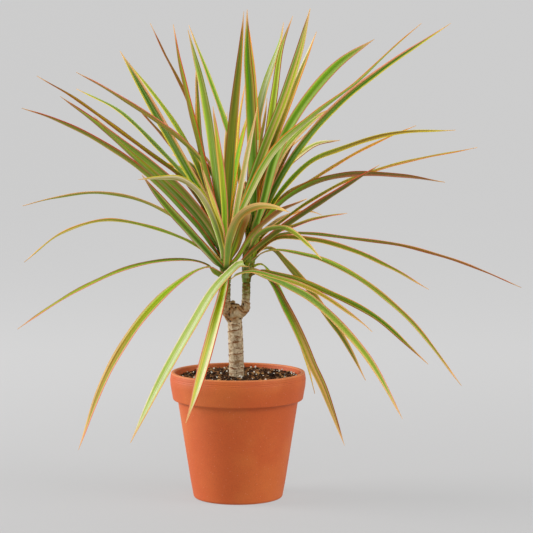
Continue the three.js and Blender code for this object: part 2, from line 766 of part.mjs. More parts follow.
/** The dead tip on the old cut: a short round peg with a domed top. */
function knobSolid() {
  const curve = curveThrough(KNOB_LINE);
  const steps = Math.round(curve.getLength() / BRANCH_STEP) + ROUNDING_STEPS;
  const radiusAt = (share) => {
    const dome = Math.max(0, (share - KNOB_DOME) / (1 - KNOB_DOME));
    return KNOB_RADIUS * Math.max(KNOB_TOP_SHARE, Math.sqrt(1 - dome ** 2));
  };
  return rod(curve, radiusAt, BRANCH_SIDES, steps);
}

/** The cane with both branches and the dead tip. */
function trunkGeometry() {
  const curve = curveThrough(CANE_LINE);
  const steps = Math.round(curve.getLength() / CANE_STEP);
  const radiusAt = (share) => {
    const height = curve.getPointAt(share).z;
    return caneRadius(height) + ringRelief(height, CANE_RING_SPACING, CANE_RING_DEPTH);
  };
  const cane = rod(curve, radiusAt, CANE_SIDES, steps);
  const branches = [LEFT_BRANCH_LINE, RIGHT_BRANCH_LINE].map(branchSolid);
  return toGeometry(joinAll([cane, knobSolid(), ...branches]));
}

/** The height of the mix: lumpy, a little heaped towards the cane. */
function soilHeight(x, y, edgeRadius) {
  const share = Math.hypot(x, y) / edgeRadius;
  const heap = SOIL_CROWN * (1 - share ** 2);
  const broad =
    Math.sin(x * LUMP_PITCH[0] + LUMP_SHIFT[0]) * Math.sin(y * LUMP_PITCH[1] + LUMP_SHIFT[1]);
  const fine = FINE_LUMP_SHARE * Math.sin(x * FINE_LUMP_PITCH[0] + y * FINE_LUMP_PITCH[1]);
  return SOIL_EDGE_HEIGHT + heap + SOIL_LUMP * (broad + fine) * (1 - share ** 4);
}

/** The mix: it fills the pot up to its lumpy top, with a plain hole for the cane. */
function soilGeometry() {
  const bodySlope = (BODY_TOP_RADIUS - FOOT_RADIUS) / BODY_TOP;
  const innerFoot = FOOT_RADIUS + bodySlope * FLOOR - WALL - FIT_GAP;
  const innerTop = BODY_TOP_RADIUS - WALL - FIT_GAP;
  const rimShare = (SOIL_EDGE_HEIGHT - BODY_TOP) / (RIM_TOP_BULGE - BODY_TOP);
  const edge = THREE.MathUtils.lerp(innerTop, MOUTH_RADIUS - FIT_GAP, rimShare);
  const profile = [
    [0, FLOOR + FIT_GAP],
    [innerFoot, FLOOR + FIT_GAP],
    [innerTop, BODY_TOP],
  ];
  for (let ring = SOIL_RINGS; ring >= 0; ring -= 1) {
    profile.push([(edge * ring) / SOIL_RINGS, SOIL_EDGE_HEIGHT]);
  }
  const geometry = turned(profile, SOIL_SIDES);
  const position = geometry.attributes.position;
  for (let index = 0; index < position.count; index += 1) {
    const x = position.getX(index);
    const y = position.getY(index);
    if (position.getZ(index) > (BODY_TOP + SOIL_EDGE_HEIGHT) / 2) {
      position.setZ(index, soilHeight(x, y, edge));
    }
  }
  const holeLength = POT_HEIGHT - CANE_FOOT;
  const holeCentre = (CANE_LINE[0][0] + CANE_LINE[1][0]) / 2;
  const hole = new THREE.CylinderGeometry(
    CANE_HOLE_RADIUS,
    CANE_HOLE_RADIUS,
    holeLength,
    CANE_HOLE_SIDES,
  );
  hole.rotateX(Math.PI / 2);
  hole.translate(holeCentre, 0, CANE_FOOT - FIT_GAP + holeLength / 2);
  return toGeometry(toSolid(geometry).subtract(toSolid(hole)));
}

/** A head's green stem radius: swollen by the leaf bases in its middle. */
function stemRadius(share) {
  return STEM_RADIUS + STEM_SWELL * Math.sin(Math.PI * share) - STEM_TAPER * share;
}

/** A leafy head: its green stem with every leaf sunk into it. */
function crownGeometry(head) {
  const footZ = BRANCH_TOP + FIT_GAP;
  const stemLine = [
    [head.foot, head.depth, footZ],
    [head.foot, head.depth, footZ + STEM_RISE],
    [head.root[0], head.depth, head.root[1]],
    [head.top[0], head.depth, head.top[1]],
  ];
  const stem = rod(curveThrough(stemLine), stemRadius, STEM_SIDES, STEM_STEPS);
  const leaves = [...head.leaves, ...backLeaves(head)].map((leaf) => leafSolid(leaf, head));
  return toGeometry(outerBody(joinAll([stem, ...leaves])));
}

// ---- Materials ----

const terracotta = new THREE.MeshStandardMaterial({
  color: 0xc26341,
  roughness: 0.85,
  metalness: 0,
});
const pottingMix = new THREE.MeshStandardMaterial({
  color: 0x2e2019,
  roughness: 0.95,
  metalness: 0,
});
const bark = new THREE.MeshStandardMaterial({
  color: 0x9b8a70,
  roughness: 0.8,
  metalness: 0,
});
const blade = new THREE.MeshStandardMaterial({
  color: 0x6f8f2e,
  roughness: 0.45,
  metalness: 0,
});

// ---- Assembly ----

/** A named sub-part of the plant. */
function piece(name, geometry, material) {
  const mesh = new THREE.Mesh(geometry, material);
  mesh.name = name;
  return mesh;
}

const plant = new THREE.Group();
plant.add(piece("pot", potGeometry(), terracotta));
plant.add(piece("soil", soilGeometry(), pottingMix));
plant.add(piece("trunk", trunkGeometry(), bark));
plant.add(piece("crown_left", crownGeometry(LEFT_HEAD), blade));
plant.add(piece("crown_right", crownGeometry(RIGHT_HEAD), blade));

export default plant;
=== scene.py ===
"""A two-headed striped dracaena in a clay pot, in metres, +Z up, its best side facing -Y."""

import math
import random
from collections import namedtuple
from functools import cached_property

import bpy
import numpy as np
from bpy.props import FloatProperty, FloatVectorProperty, IntProperty, PointerProperty
from mathutils import Euler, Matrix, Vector, noise


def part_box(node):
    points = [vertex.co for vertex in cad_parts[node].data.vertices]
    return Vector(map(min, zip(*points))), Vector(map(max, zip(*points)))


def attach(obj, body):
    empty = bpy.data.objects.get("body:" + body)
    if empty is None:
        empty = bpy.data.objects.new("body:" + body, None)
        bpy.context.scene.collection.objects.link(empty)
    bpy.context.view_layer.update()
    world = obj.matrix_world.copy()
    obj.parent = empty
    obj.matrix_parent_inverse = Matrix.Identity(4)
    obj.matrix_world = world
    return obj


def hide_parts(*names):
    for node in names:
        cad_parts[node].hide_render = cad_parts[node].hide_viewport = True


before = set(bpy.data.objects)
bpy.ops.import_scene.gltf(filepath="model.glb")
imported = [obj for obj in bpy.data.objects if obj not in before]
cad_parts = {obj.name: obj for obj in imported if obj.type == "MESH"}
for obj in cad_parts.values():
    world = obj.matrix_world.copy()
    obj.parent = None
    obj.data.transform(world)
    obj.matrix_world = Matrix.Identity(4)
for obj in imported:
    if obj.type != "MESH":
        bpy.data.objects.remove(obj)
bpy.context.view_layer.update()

bl_info = {
    "name": "Potted striped dracaena",
    "version": (1, 0, 0),
    "blender": (4, 5, 0),
    "location": "View3D > Sidebar > Dracaena",
    "description": "Makes a two-headed dracaena in a clay pot, piece by piece",
    "category": "Add Mesh",
}

POT_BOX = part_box("pot")

# Sizes and places below are in millimetres, and MM makes them metres.
MM = 0.001

# ---- Pot ----
POT_SIDES = 128
WALL = 5
BODY_RINGS = (20, 45, 70, 92)  # heights of the rings between the foot and the neck
NECK = [(66, 105), (66.3, 106.7), (67.1, 107.9), (68.4, 108.8)]  # under the band
RIM_FOOT = 111.3  # height at which the band's lower edge turns in
RIM_FOOT_RADIUS = 72.1
RIM_ROUNDING = 1.9
BAND_RINGS = (114.5, 125)  # heights of the rings up the band
BAND_STEP = 0.5  # how far they stand from its foot's and its widest radius
RIM_BULGE = 132  # height at which the rim band is widest
INNER_LEAN = 0.4  # how much narrower the inside is there than at the lip
FOOT_ROUNDING = 3
LIP_ROUNDING = 1.6
LIP_OUTER = 74
LIP_INNER = 69.6
# The lip's paler top is a painted highlight.
LIP_HIGHLIGHT_FADE = (1.9, 0.6)  # below the top, where the lip's paler colour begins and is full
GROOVES = (133.2, 135.1)  # two fine lines below the lip
GROOVE_DEPTH = 0.3
GROOVE_HALF = 0.45
POT_FLOOR = 7
DRAIN_RADIUS = 5.5
DRAIN_CIRCLE = 24
DRAIN_COUNT = 3

# ---- Potting mix ----
BED_SIDES = 96
BED_RINGS = 26
BED_GAP = 0.3
BED_EDGE_HEIGHT = 132
BED_CROWN = 2.8
BED_BACK_RISE = 3
BED_LUMP = 1.3
BED_HOLE = 8.9  # where the cane stands
BED_HOLE_FLOOR = 78

# The grains' models: how finely a ball is divided, its size, how uneven it is, and its seed.
CRUMB_MODELS = [(1, (1.0, 0.62, 0.42), 0.13, 1), (1, (1.0, 0.85, 0.5), 0.16, 2),
                (1, (1.15, 0.4, 0.36), 0.1, 3)]
PERLITE_MODELS = [(2, (1.0, 0.9, 0.8), 0.06, 4), (2, (1.0, 0.75, 0.7), 0.08, 5)]
CRUMB_SEED = 5
CRUMB_SIZES = (0.5, 1.45)  # shares of the middling size
CRUMB_LIFT = (0.0, 0.28)  # how far a crumb stands out of the mix, as a share of its size
CRUMB_TILT = 0.35
WALL_CRUMBS = 26  # crumbs that stick to the pot's wall above the mix
WALL_CRUMB_HEIGHT = (133.5, 137)
WALL_CRUMB_SIZE = (1.2, 2.2)
WALL_CRUMB_INSET = 0.4
PERLITE_SEED = 9
PERLITE_SIZES = (0.6, 1.5)
PERLITE_LIFT = 0.5
PERLITE_FRONT = 0.35  # the share of those at the back that is drawn again
CANE_MARGIN = 0.8  # bare of grains, round the cane
WALL_MARGIN = 1.2  # and along the pot's wall

# ---- Cane and branches ----
CANE_LINE = [(-1.2, 0, 78), (-1.6, 0, 138), (-2.5, 0, 175), (-3.4, 0, 195), (-3.8, 0, 214.5)]
CANE_WAIST = 190
CANE_RADII = (8.6, 8.2, 5.8)  # at the foot, at the waist and at the old cut
CANE_SWELL = 0.9
KNOB_LINE = [(-5.2, -0.3, 207), (-5.4, -0.5, 219)]  # the dead tip on the old cut
KNOB_RADIUS = 3.3
KNOB_DOME = (0.7, 0.93)  # shares of its height and of its radius where it rounds off
LEFT_BRANCH = [(-4, 0, 201), (-10.3, -2, 204.3), (-12.9, -3.4, 210), (-12.8, -4, 219),
               (-12.5, -4, 232), (-12.5, -4, 238)]
RIGHT_BRANCH = [(-2, 1, 204), (4, 2.3, 206.3), (7.8, 3.4, 210.5), (8.8, 4, 219),
                (9.2, 4, 232), (9.3, 4, 238)]
BRANCH_RADIUS = 4.6
ELBOW_SWELL = 1.5  # how much thicker a branch is where it leaves the cane
ELBOW_RANGE = (208, 216)  # heights between which that fades out
LEFT_RINGS = (12, 48)  # lengths along a branch between which it has leaf scars
RIGHT_RINGS = (10, 46)
RING_SEED = 3
RING_SPACING = 0.9  # a branch's spacing, as a share of the cane's
RING_STEPS = (0.55, 1.45)  # and how evenly they are spaced
RING_SLANTS = (0.4, 1.7)
RING_STRENGTHS = (0.35, 1.0)
SCAR_WIDTH = 0.6  # a scar's dark line
RUST_WIDTH = 0.7  # the rusty line below it
RUST_DROP = 0.9
SCAR_LIP_WIDTH = 0.8  # its raised lip
HOLLOW_WIDTH = 1.0  # the hollow above that
HOLLOW_RISE = 1.5
HOLLOW_SHARE = 0.7
KNUCKLE = (194, 218)  # heights of the gnarled stretch where the branches leave
CUT_HEIGHT = 213  # above this, the cane's end grain shows
CUT_DEPTH = 2.5  # and this far up
BARK_FACE = 0.6  # size of the faces that the bark is shaped from

# Old leaf scars of the cane: height, rise to the right and strength of each.
CANE_SCARS = [(193.2, 0.8, 0.6), (186.8, 1.9, 1.0), (178.4, 1.2, 0.6), (173.6, 2.0, 1.0),
              (166.2, 0.6, 0.5), (160.4, 1.2, 1.0), (151.9, 0.3, 0.7), (144.6, -0.5, 0.9),
              (139.5, 0.4, 0.6)]

# Marks on the front of the bark: x, z, half width and half height of each.
# Pits and the knob's slot are sunk into the bark and painted near black: painted shade.
PITS = [(-2.2, 211.5, 1.0, 1.0), (-8.3, 196.2, 1.2, 0.7), (2.7, 199.2, 0.9, 0.8),
        (1.7, 193.6, 0.7, 0.6), (5.6, 214.5, 0.8, 1.6), (-9.4, 204.0, 0.8, 2.6),
        (-8.8, 210.0, 1.0, 1.4)]
KNOB_SLOT = [(-5.4, 215.8, 2.7, 0.8)]
WORN = [(-6.0, 203.4, 2.4, 2.2), (-1.0, 205.5, 3.4, 2.4), (3.0, 204.8, 1.2, 2.0),
        (-4.4, 210.4, 1.2, 2.0), (8.4, 212.6, 1.2, 2.4), (9.4, 229.2, 1.4, 0.8),
        (-12.6, 204.4, 2.2, 0.8)]
# The last of these, on the knob's top, is an orange band that is a painted highlight; the others
# are rusty ridges.
RIDGES = [(1.4, 210.6, 1.2, 0.8), (4.4, 209.2, 1.6, 0.9), (7.4, 206.9, 1.6, 1.0),
          (10.4, 206.6, 1.6, 1.2), (-12.8, 203.6, 2.4, 1.0), (-4.0, 200.2, 2.6, 0.6),
          (-7.4, 198.4, 1.6, 1.6), (-5.4, 217.5, 2.2, 0.5)]
SWELLS = [(-11.2, 198.4, 2.2, 3.0), (3.4, 200.5, 1.6, 1.6)]

# Creases on the front of the bark, each a line of x and z. They are sunk, stained rusty along their
# sides, and darkened at their core with painted shade.
CREASES = [
    ((0.1, 211.6), (2.9, 208.1), (5.2, 206.2), (7.1, 205.3), (10.6, 204.9)),
    ((-13.8, 204.6), (-10.6, 203.9), (-8.6, 205.8), (-8.3, 210.2), (-6.6, 212.6)),
    ((-13.2, 201.4), (-9.8, 199.2), (-8.2, 196.4)),
    ((-6.2, 212), (-4.6, 209.4), (-2.6, 211.8)),
    ((-4.8, 199), (-2, 200.6)),
    ((2.2, 213.8), (4.6, 210.6), (6.4, 208.6)),
]
CREASE_WIDTH = 0.55
BARK_ROUGHNESS = 0.25
KNUCKLE_ROUGHNESS = 0.5
KNUCKLE_LUMPS = 0.7
STAIN_WIDTH = 2.4 * CREASE_WIDTH
RIDGE_HEIGHT = 0.7
PIT_DEPTH = 1.3
SLOT_DEPTH = 1.6
CREASE_DEPTH = 0.6
SWELL_HEIGHT = 1.7

# ---- Leaves ----
# A leaf is drawn as it is seen from the front, from this point, on the upright plane
# through the pot's axis, and is then bent back or forward along the line of sight.
FRONT_EYE = np.array((31.5, -2300.0, 465.0))
LEAF_ROWS = 54  # of a blade's blank, along it
LEAF_COLUMNS = 12  # and across it
SHEATH_ROWS = 9  # of those rows, the ones that clasp the stem
SHEATH_DROP = 13  # how far down the stem a leaf's sheath begins
SHEATH_HUG = 0.9  # its radius as a share of the stem's
SHEATH_HANDLES = (0.45, 0.3)  # how softly it bends out of the stem
SHEATH_OPENING = (0.5, 16)  # from this share of its length to so far past it, it opens out
LEAVE_SHARE = 0.3  # a leaf has left the stem by this share of its length
LEAVE_GAPS = (0.2, 0.9)  # room round the stem for the uppermost leaf, and more for the lowest
SHEATH_WRAP = 1.15  # how far round the stem it reaches to each side, in radians
BLADE_CURL = 0.055  # how much a free blade is channelled, one over its radius
BLADE_WAVE = 0.22  # how far its edges wave up and down
ROOT_SHARE = 0.7  # the blade's width where it leaves the stem
TIP_SHARE = 0.03
EDGE_RANGE = (0.05, 0.35)  # shares between which a blade turns flat from its root
TWIST_RANGE = (0.3, 0.7)  # shares of its length between which a blade twists
FAR_RANGE = (0.27, 0.65)  # shares between which its outer colours take over
STUB_LENGTH = 60  # a leaf shorter than this shows no dried tip
STEM_FOOT = 238.3
STEM_RISE = 6
STEM_RADIUS = 4.8
STEM_SWELL = 4.6
STEM_TAPER = 2
STEM_RINGS = 30
STEM_FILL = 0.86  # the green stem's radius as a share of its sheath of leaves

BACK_LEAVES = 8
BACK_ROOT_STEP = 3.3
BACK_RISE = (60, 90)
BACK_TIP_HEIGHT = (325, 430)
BACK_TIP_DEPTH = (170, 250)
BACK_SHOWN = (5, 9)
BACK_REACH = (0.25, 0.6)
BACK_LIFT = (-20, 8)
BACK_CREAM = 0.2
BACK_LOOKS = (
    ("fresh moss fresh", "olive", "rust orange"),
    ("deep fresh deep", "moss", "rose tan"),
    ("olive lime olive", "gold", "red rust"),
    ("moss fresh moss", "bronze", "rust tan"),
)

# ---- Stage ----
# The floor's profile, of radius and height: flat, curving up, and a wall all round.
FLOOR_REACH = 4000
FLOOR_CURVE = 1500
FLOOR_HEIGHT = -0.2  # just below the pot's foot
WALL_TOP = (5500, 2600)
FLOOR_SIDES = 96

# In metres and radians: each light's name, place and size, and the camera.
LIGHTS = (
    ("left light", (-2.1, 0.05, 1.0), 1.4),
    ("right light", (2.0, -0.8, 1.2), 1.4),
    ("front light", (0.3, -2.2, 2.1), 1.2),
)
LIGHT_AIM = (0, 0, 0.25)
CAMERA_PLACE = (0.0315, -2.3, 0.465)
CAMERA_PITCH = 0.0905
CAMERA_LENS = 141.84

# Colours of the blades. The greyish blue-green one is a painted highlight, a sheen, not a colour of
# the blades.
SHADES = {
    "deep": "3c7400", "fresh": "6aa000", "moss": "5c6c00", "olive": "808608", "sage": "8cac34",
    "mist": "84a850", "lime": "9ebc0c", "pale": "b6d064", "white": "dfe6b4", "khaki": "a89c34",
    "gold": "b49024", "bronze": "7e6010", "red": "bc3c1c", "rust": "964a0e", "rose": "dc7c5c",
    "orange": "d8841c", "tan": "dca862", "yellow": "d0bc34", "cream": "f0e0b0",
}

# One leaf. line is its midrib from root to tip, as x and z on the drawing plane, tip is the
# tip's depth, bow below 1 takes it there early, and shown is the width seen in front. tones
# are its colours across, from the edge that is to the upper left as it is seen from the
# front: its own stripes, and also painted light and shade where one half of a folded blade is
# lit and the other shaded. far is those of its outer part, and edges those of its two edges,
# of which the upper left one is often paler as a painted highlight. cream is how much of its
# streaks and bands is pale. It narrows from the share taper of its length, twists by so many
# degrees, and is turned on edge at its root by the share edge.
Leaf = namedtuple(
    "Leaf",
    "line tip bow shown tones far edges cream width taper twist edge",
    defaults=(10.5, 0.45, 0, 0),
)
# One head: where its stem stands, its lowest and highest root, its depth, the stretch of x
# over which the leaves at its back spread their tips, and its leaves.
Head = namedtuple("Head", "seed foot root top depth fan leaves")

LEFT_LEAVES = [
    Leaf([(-14, 243), (-23.6, 247.5), (-31, 256.2), (-43.8, 261.6), (-63.5, 263.6), (-110, 257.5),
          (-160, 238), (-205, 213), (-243, 187)],
         -90, 1, 3.3, "moss sage", "olive sage khaki", "rust rose", 0.1, edge=0.5),
    Leaf([(-14, 250), (-25, 262), (-36, 272.5), (-47.5, 280), (-60, 286.5), (-95, 299),
          (-145, 307), (-195, 292), (-235, 261)],
         110, 1, 3, "sage", "tan olive bronze", "khaki orange", 0.1),
    Leaf([(-14, 256), (-36, 280), (-60, 303), (-100, 326), (-150, 337), (-200, 332), (-236, 323)],
         -60, 1, 3, "khaki", "lime khaki", "yellow tan", 0.15),
    Leaf([(-13, 243), (-18.5, 249), (-24.1, 253), (-30.9, 255.6), (-43.8, 252.4), (-57.9, 243.8),
          (-86, 220.6), (-118, 182), (-148, 130), (-177, 52)],
         -100, 0.65, 8, "sage lime sage", "tan bronze gold olive bronze", "tan rose", 0.3,
         edge=0.9),
    Leaf([(-13, 245), (-17, 226), (-25, 195), (-37, 150), (-50, 105), (-58, 82)],
         -140, 0.6, 11.5, "olive olive lime cream", "gold yellow pale cream white", "rose red",
         0.4, width=12),
    Leaf([(-14, 260), (-20, 285), (-30, 315), (-45, 340), (-65, 353), (-85, 354), (-109, 352)],
         -190, 0.9, 6.5, "sage moss", "khaki cream", "cream yellow", 0.2),
    Leaf([(-15, 252), (-30, 268), (-50, 291), (-80, 325), (-105, 357)],
         -170, 0.9, 8.5, "cream fresh deep fresh", "lime fresh olive lime", "red red", 0.25),
    Leaf([(-15, 258), (-40, 295), (-60, 318), (-100, 358), (-150, 393), (-200, 418), (-236, 430)],
         -60, 1, 5.5, "deep fresh moss", "khaki olive bronze", "rose red", 0.1),
    Leaf([(-14, 264), (-40, 305), (-70, 338), (-110, 375), (-150, 411), (-194, 443)],
         -110, 1, 7.5, "moss deep moss", "moss lime gold", "red red", 0.2),
    Leaf([(-15, 268), (-30, 300), (-60, 338), (-100, 373), (-140, 405), (-157, 421)],
         -160, 1, 7, "moss olive bronze", "fresh lime moss", "red rose", 0.2),
    Leaf([(-14, 272), (-30, 308), (-60, 352), (-100, 383), (-140, 413), (-180, 442), (-219, 465)],
         60, 1, 4, "bronze moss", "bronze gold", "rust rust", 0),
    Leaf([(-15, 276), (-30, 318), (-55, 351), (-90, 389), (-130, 427), (-176, 451)],
         150, 1, 4.5, "sage mist", "mist sage", "yellow pale", 0.2),
    Leaf([(-14, 283), (-22, 345), (-40, 373), (-70, 402), (-110, 430), (-150, 455), (-176, 469)],
         -40, 1, 4.8, "deep moss khaki", "moss gold bronze", "rust rose", 0.15),
    Leaf([(-15, 280), (-40, 345), (-75, 391), (-100, 420), (-112, 432)],
         160, 1, 4, "moss bronze", "bronze", "rust rust", 0.1),
    Leaf([(-15, 262), (-30, 318), (-50, 354), (-80, 408), (-110, 461), (-128, 492)],
         30, 1, 10, "lime deep deep fresh tan", "moss deep deep rose", "yellow tan", 0.2,
         taper=0.6),
    Leaf([(-15, 270), (-31, 330), (-53, 385), (-80, 429), (-121, 482)],
         110, 1.2, 5, "sage fresh lime", "lime sage lime", "yellow yellow", 0.2),
    Leaf([(-15, 274), (-26, 330), (-42, 385), (-55, 438), (-80, 490), (-95, 522)],
         130, 1.2, 3.5, "bronze moss", "bronze", "rust rust", 0),
    Leaf([(-14, 278), (-26, 325), (-40, 380), (-52, 430), (-63, 480), (-70, 521)],
         -60, 1.2, 5.5, "olive moss", "bronze olive", "rust red", 0),
    Leaf([(-14, 286), (-21, 330), (-30, 400), (-39.3, 455), (-54, 515)],
         -100, 1.3, 8.5, "fresh sage mist fresh", "lime sage olive", "tan olive", 0.3),
    Leaf([(-15, 284), (-28, 325), (-42, 395), (-44.5, 450), (-45.5, 476)],
         110, 1.3, 7, "khaki sage moss", "orange olive moss", "tan rust", 0.2),
    Leaf([(-13, 266), (-13, 300), (-9.6, 360), (-4.6, 420), (2.7, 489), (6.9, 535)],
         -60, 0.8, 11, "moss olive moss deep", "bronze moss olive bronze", "rust orange", 0.05,
         width=11.2, taper=0.3),
    Leaf([(-14, 254), (-15, 320), (-18, 360), (-27, 432)],
         -130, 1.2, 7, "lime fresh lime", "gold lime", "orange rose", 0.15),
    Leaf([(-13, 253), (-8, 290), (3, 312), (20, 322), (40, 322), (57, 316)],
         -200, 0.8, 8, "sage fresh moss", "tan khaki orange", "tan yellow", 0.2),
    Leaf([(-15, 265), (-18, 295), (-28, 330), (-38, 362)],
         -170, 1, 5, "lime yellow", "yellow", "yellow rose", 0.4),
    Leaf([(-13, 261), (-3, 300), (10, 331), (40, 384), (80, 420), (130, 458), (170, 496),
          (200, 522)],
         -70, 0.6, 8, "fresh fresh lime cream lime", "lime lime fresh moss", "orange cream", 0.35,
         twist=32),
    Leaf([(-13, 269), (-3, 300), (12, 340), (30, 389), (49.6, 438), (65.8, 487), (79, 538)],
         -40, 0.6, 10, "fresh deep moss deep olive", "olive fresh tan lime yellow", "rust tan",
         0.3, taper=0.65),
    Leaf([(-13, 257), (-5, 300), (3, 340), (13, 390), (21.5, 431)],
         -120, 0.8, 5.5, "sage fresh lime", "khaki cream", "tan rose", 0.3),
    Leaf([(-14, 288), (-8, 330), (0, 375), (12, 428)],
         30, 1, 6, "deep fresh", "fresh lime", "orange orange", 0.1),
    Leaf([(-14, 282), (-8.5, 306), (-4.6, 330), (-1.8, 350), (-0.5, 375), (1, 410), (8, 456)],
         60, 1, 3.5, "lime yellow", "yellow gold", "orange orange", 0.3),
    Leaf([(-13, 255), (-2, 264), (16, 291), (35, 309), (49, 319), (62, 325), (76, 331)],
         -140, 0.95, 5, "olive lime moss", "rust tan", "rust rose", 0.1),
    Leaf([(-12, 240.5), (-8.7, 241.5), (-5.5, 244), (-2.5, 246.4), (3.1, 248.4), (9, 250),
          (16, 250.6), (27, 248.7), (38.2, 245.2), (52.9, 241), (64.1, 237.4), (75.4, 233),
          (90.5, 225.6), (135, 195.5), (148, 184)],
         -110, 0.6, 4.3, "olive sage mist", "khaki gold khaki", "tan rose", 0.2, edge=0.5),
    Leaf([(-12, 243), (-8, 246), (-3, 251.5), (3.6, 260), (11, 267.8), (18, 274.5), (45, 296),
          (80, 320), (120, 346), (155, 368)],
         -170, 1.8, 6, "bronze moss olive", "rust moss bronze", "red orange", 0.1, edge=0.3),
    Leaf([(-13, 256), (-8, 264), (-4.2, 273), (-0.8, 282), (3.5, 295), (7.6, 306), (11, 316),
          (13.5, 325)],
         -25, 0.8, 9, "fresh moss lime rust bronze", "moss rust bronze", "rust rust", 0.1,
         width=10, taper=0.7),
    Leaf([(-13, 239.5), (-17.5, 243), (-22.5, 248), (-27, 252), (-31, 254.8)],
         -20, 0.8, 6, "lime sage lime", "lime sage", "yellow lime", 0.2, width=7, taper=0.5),
]
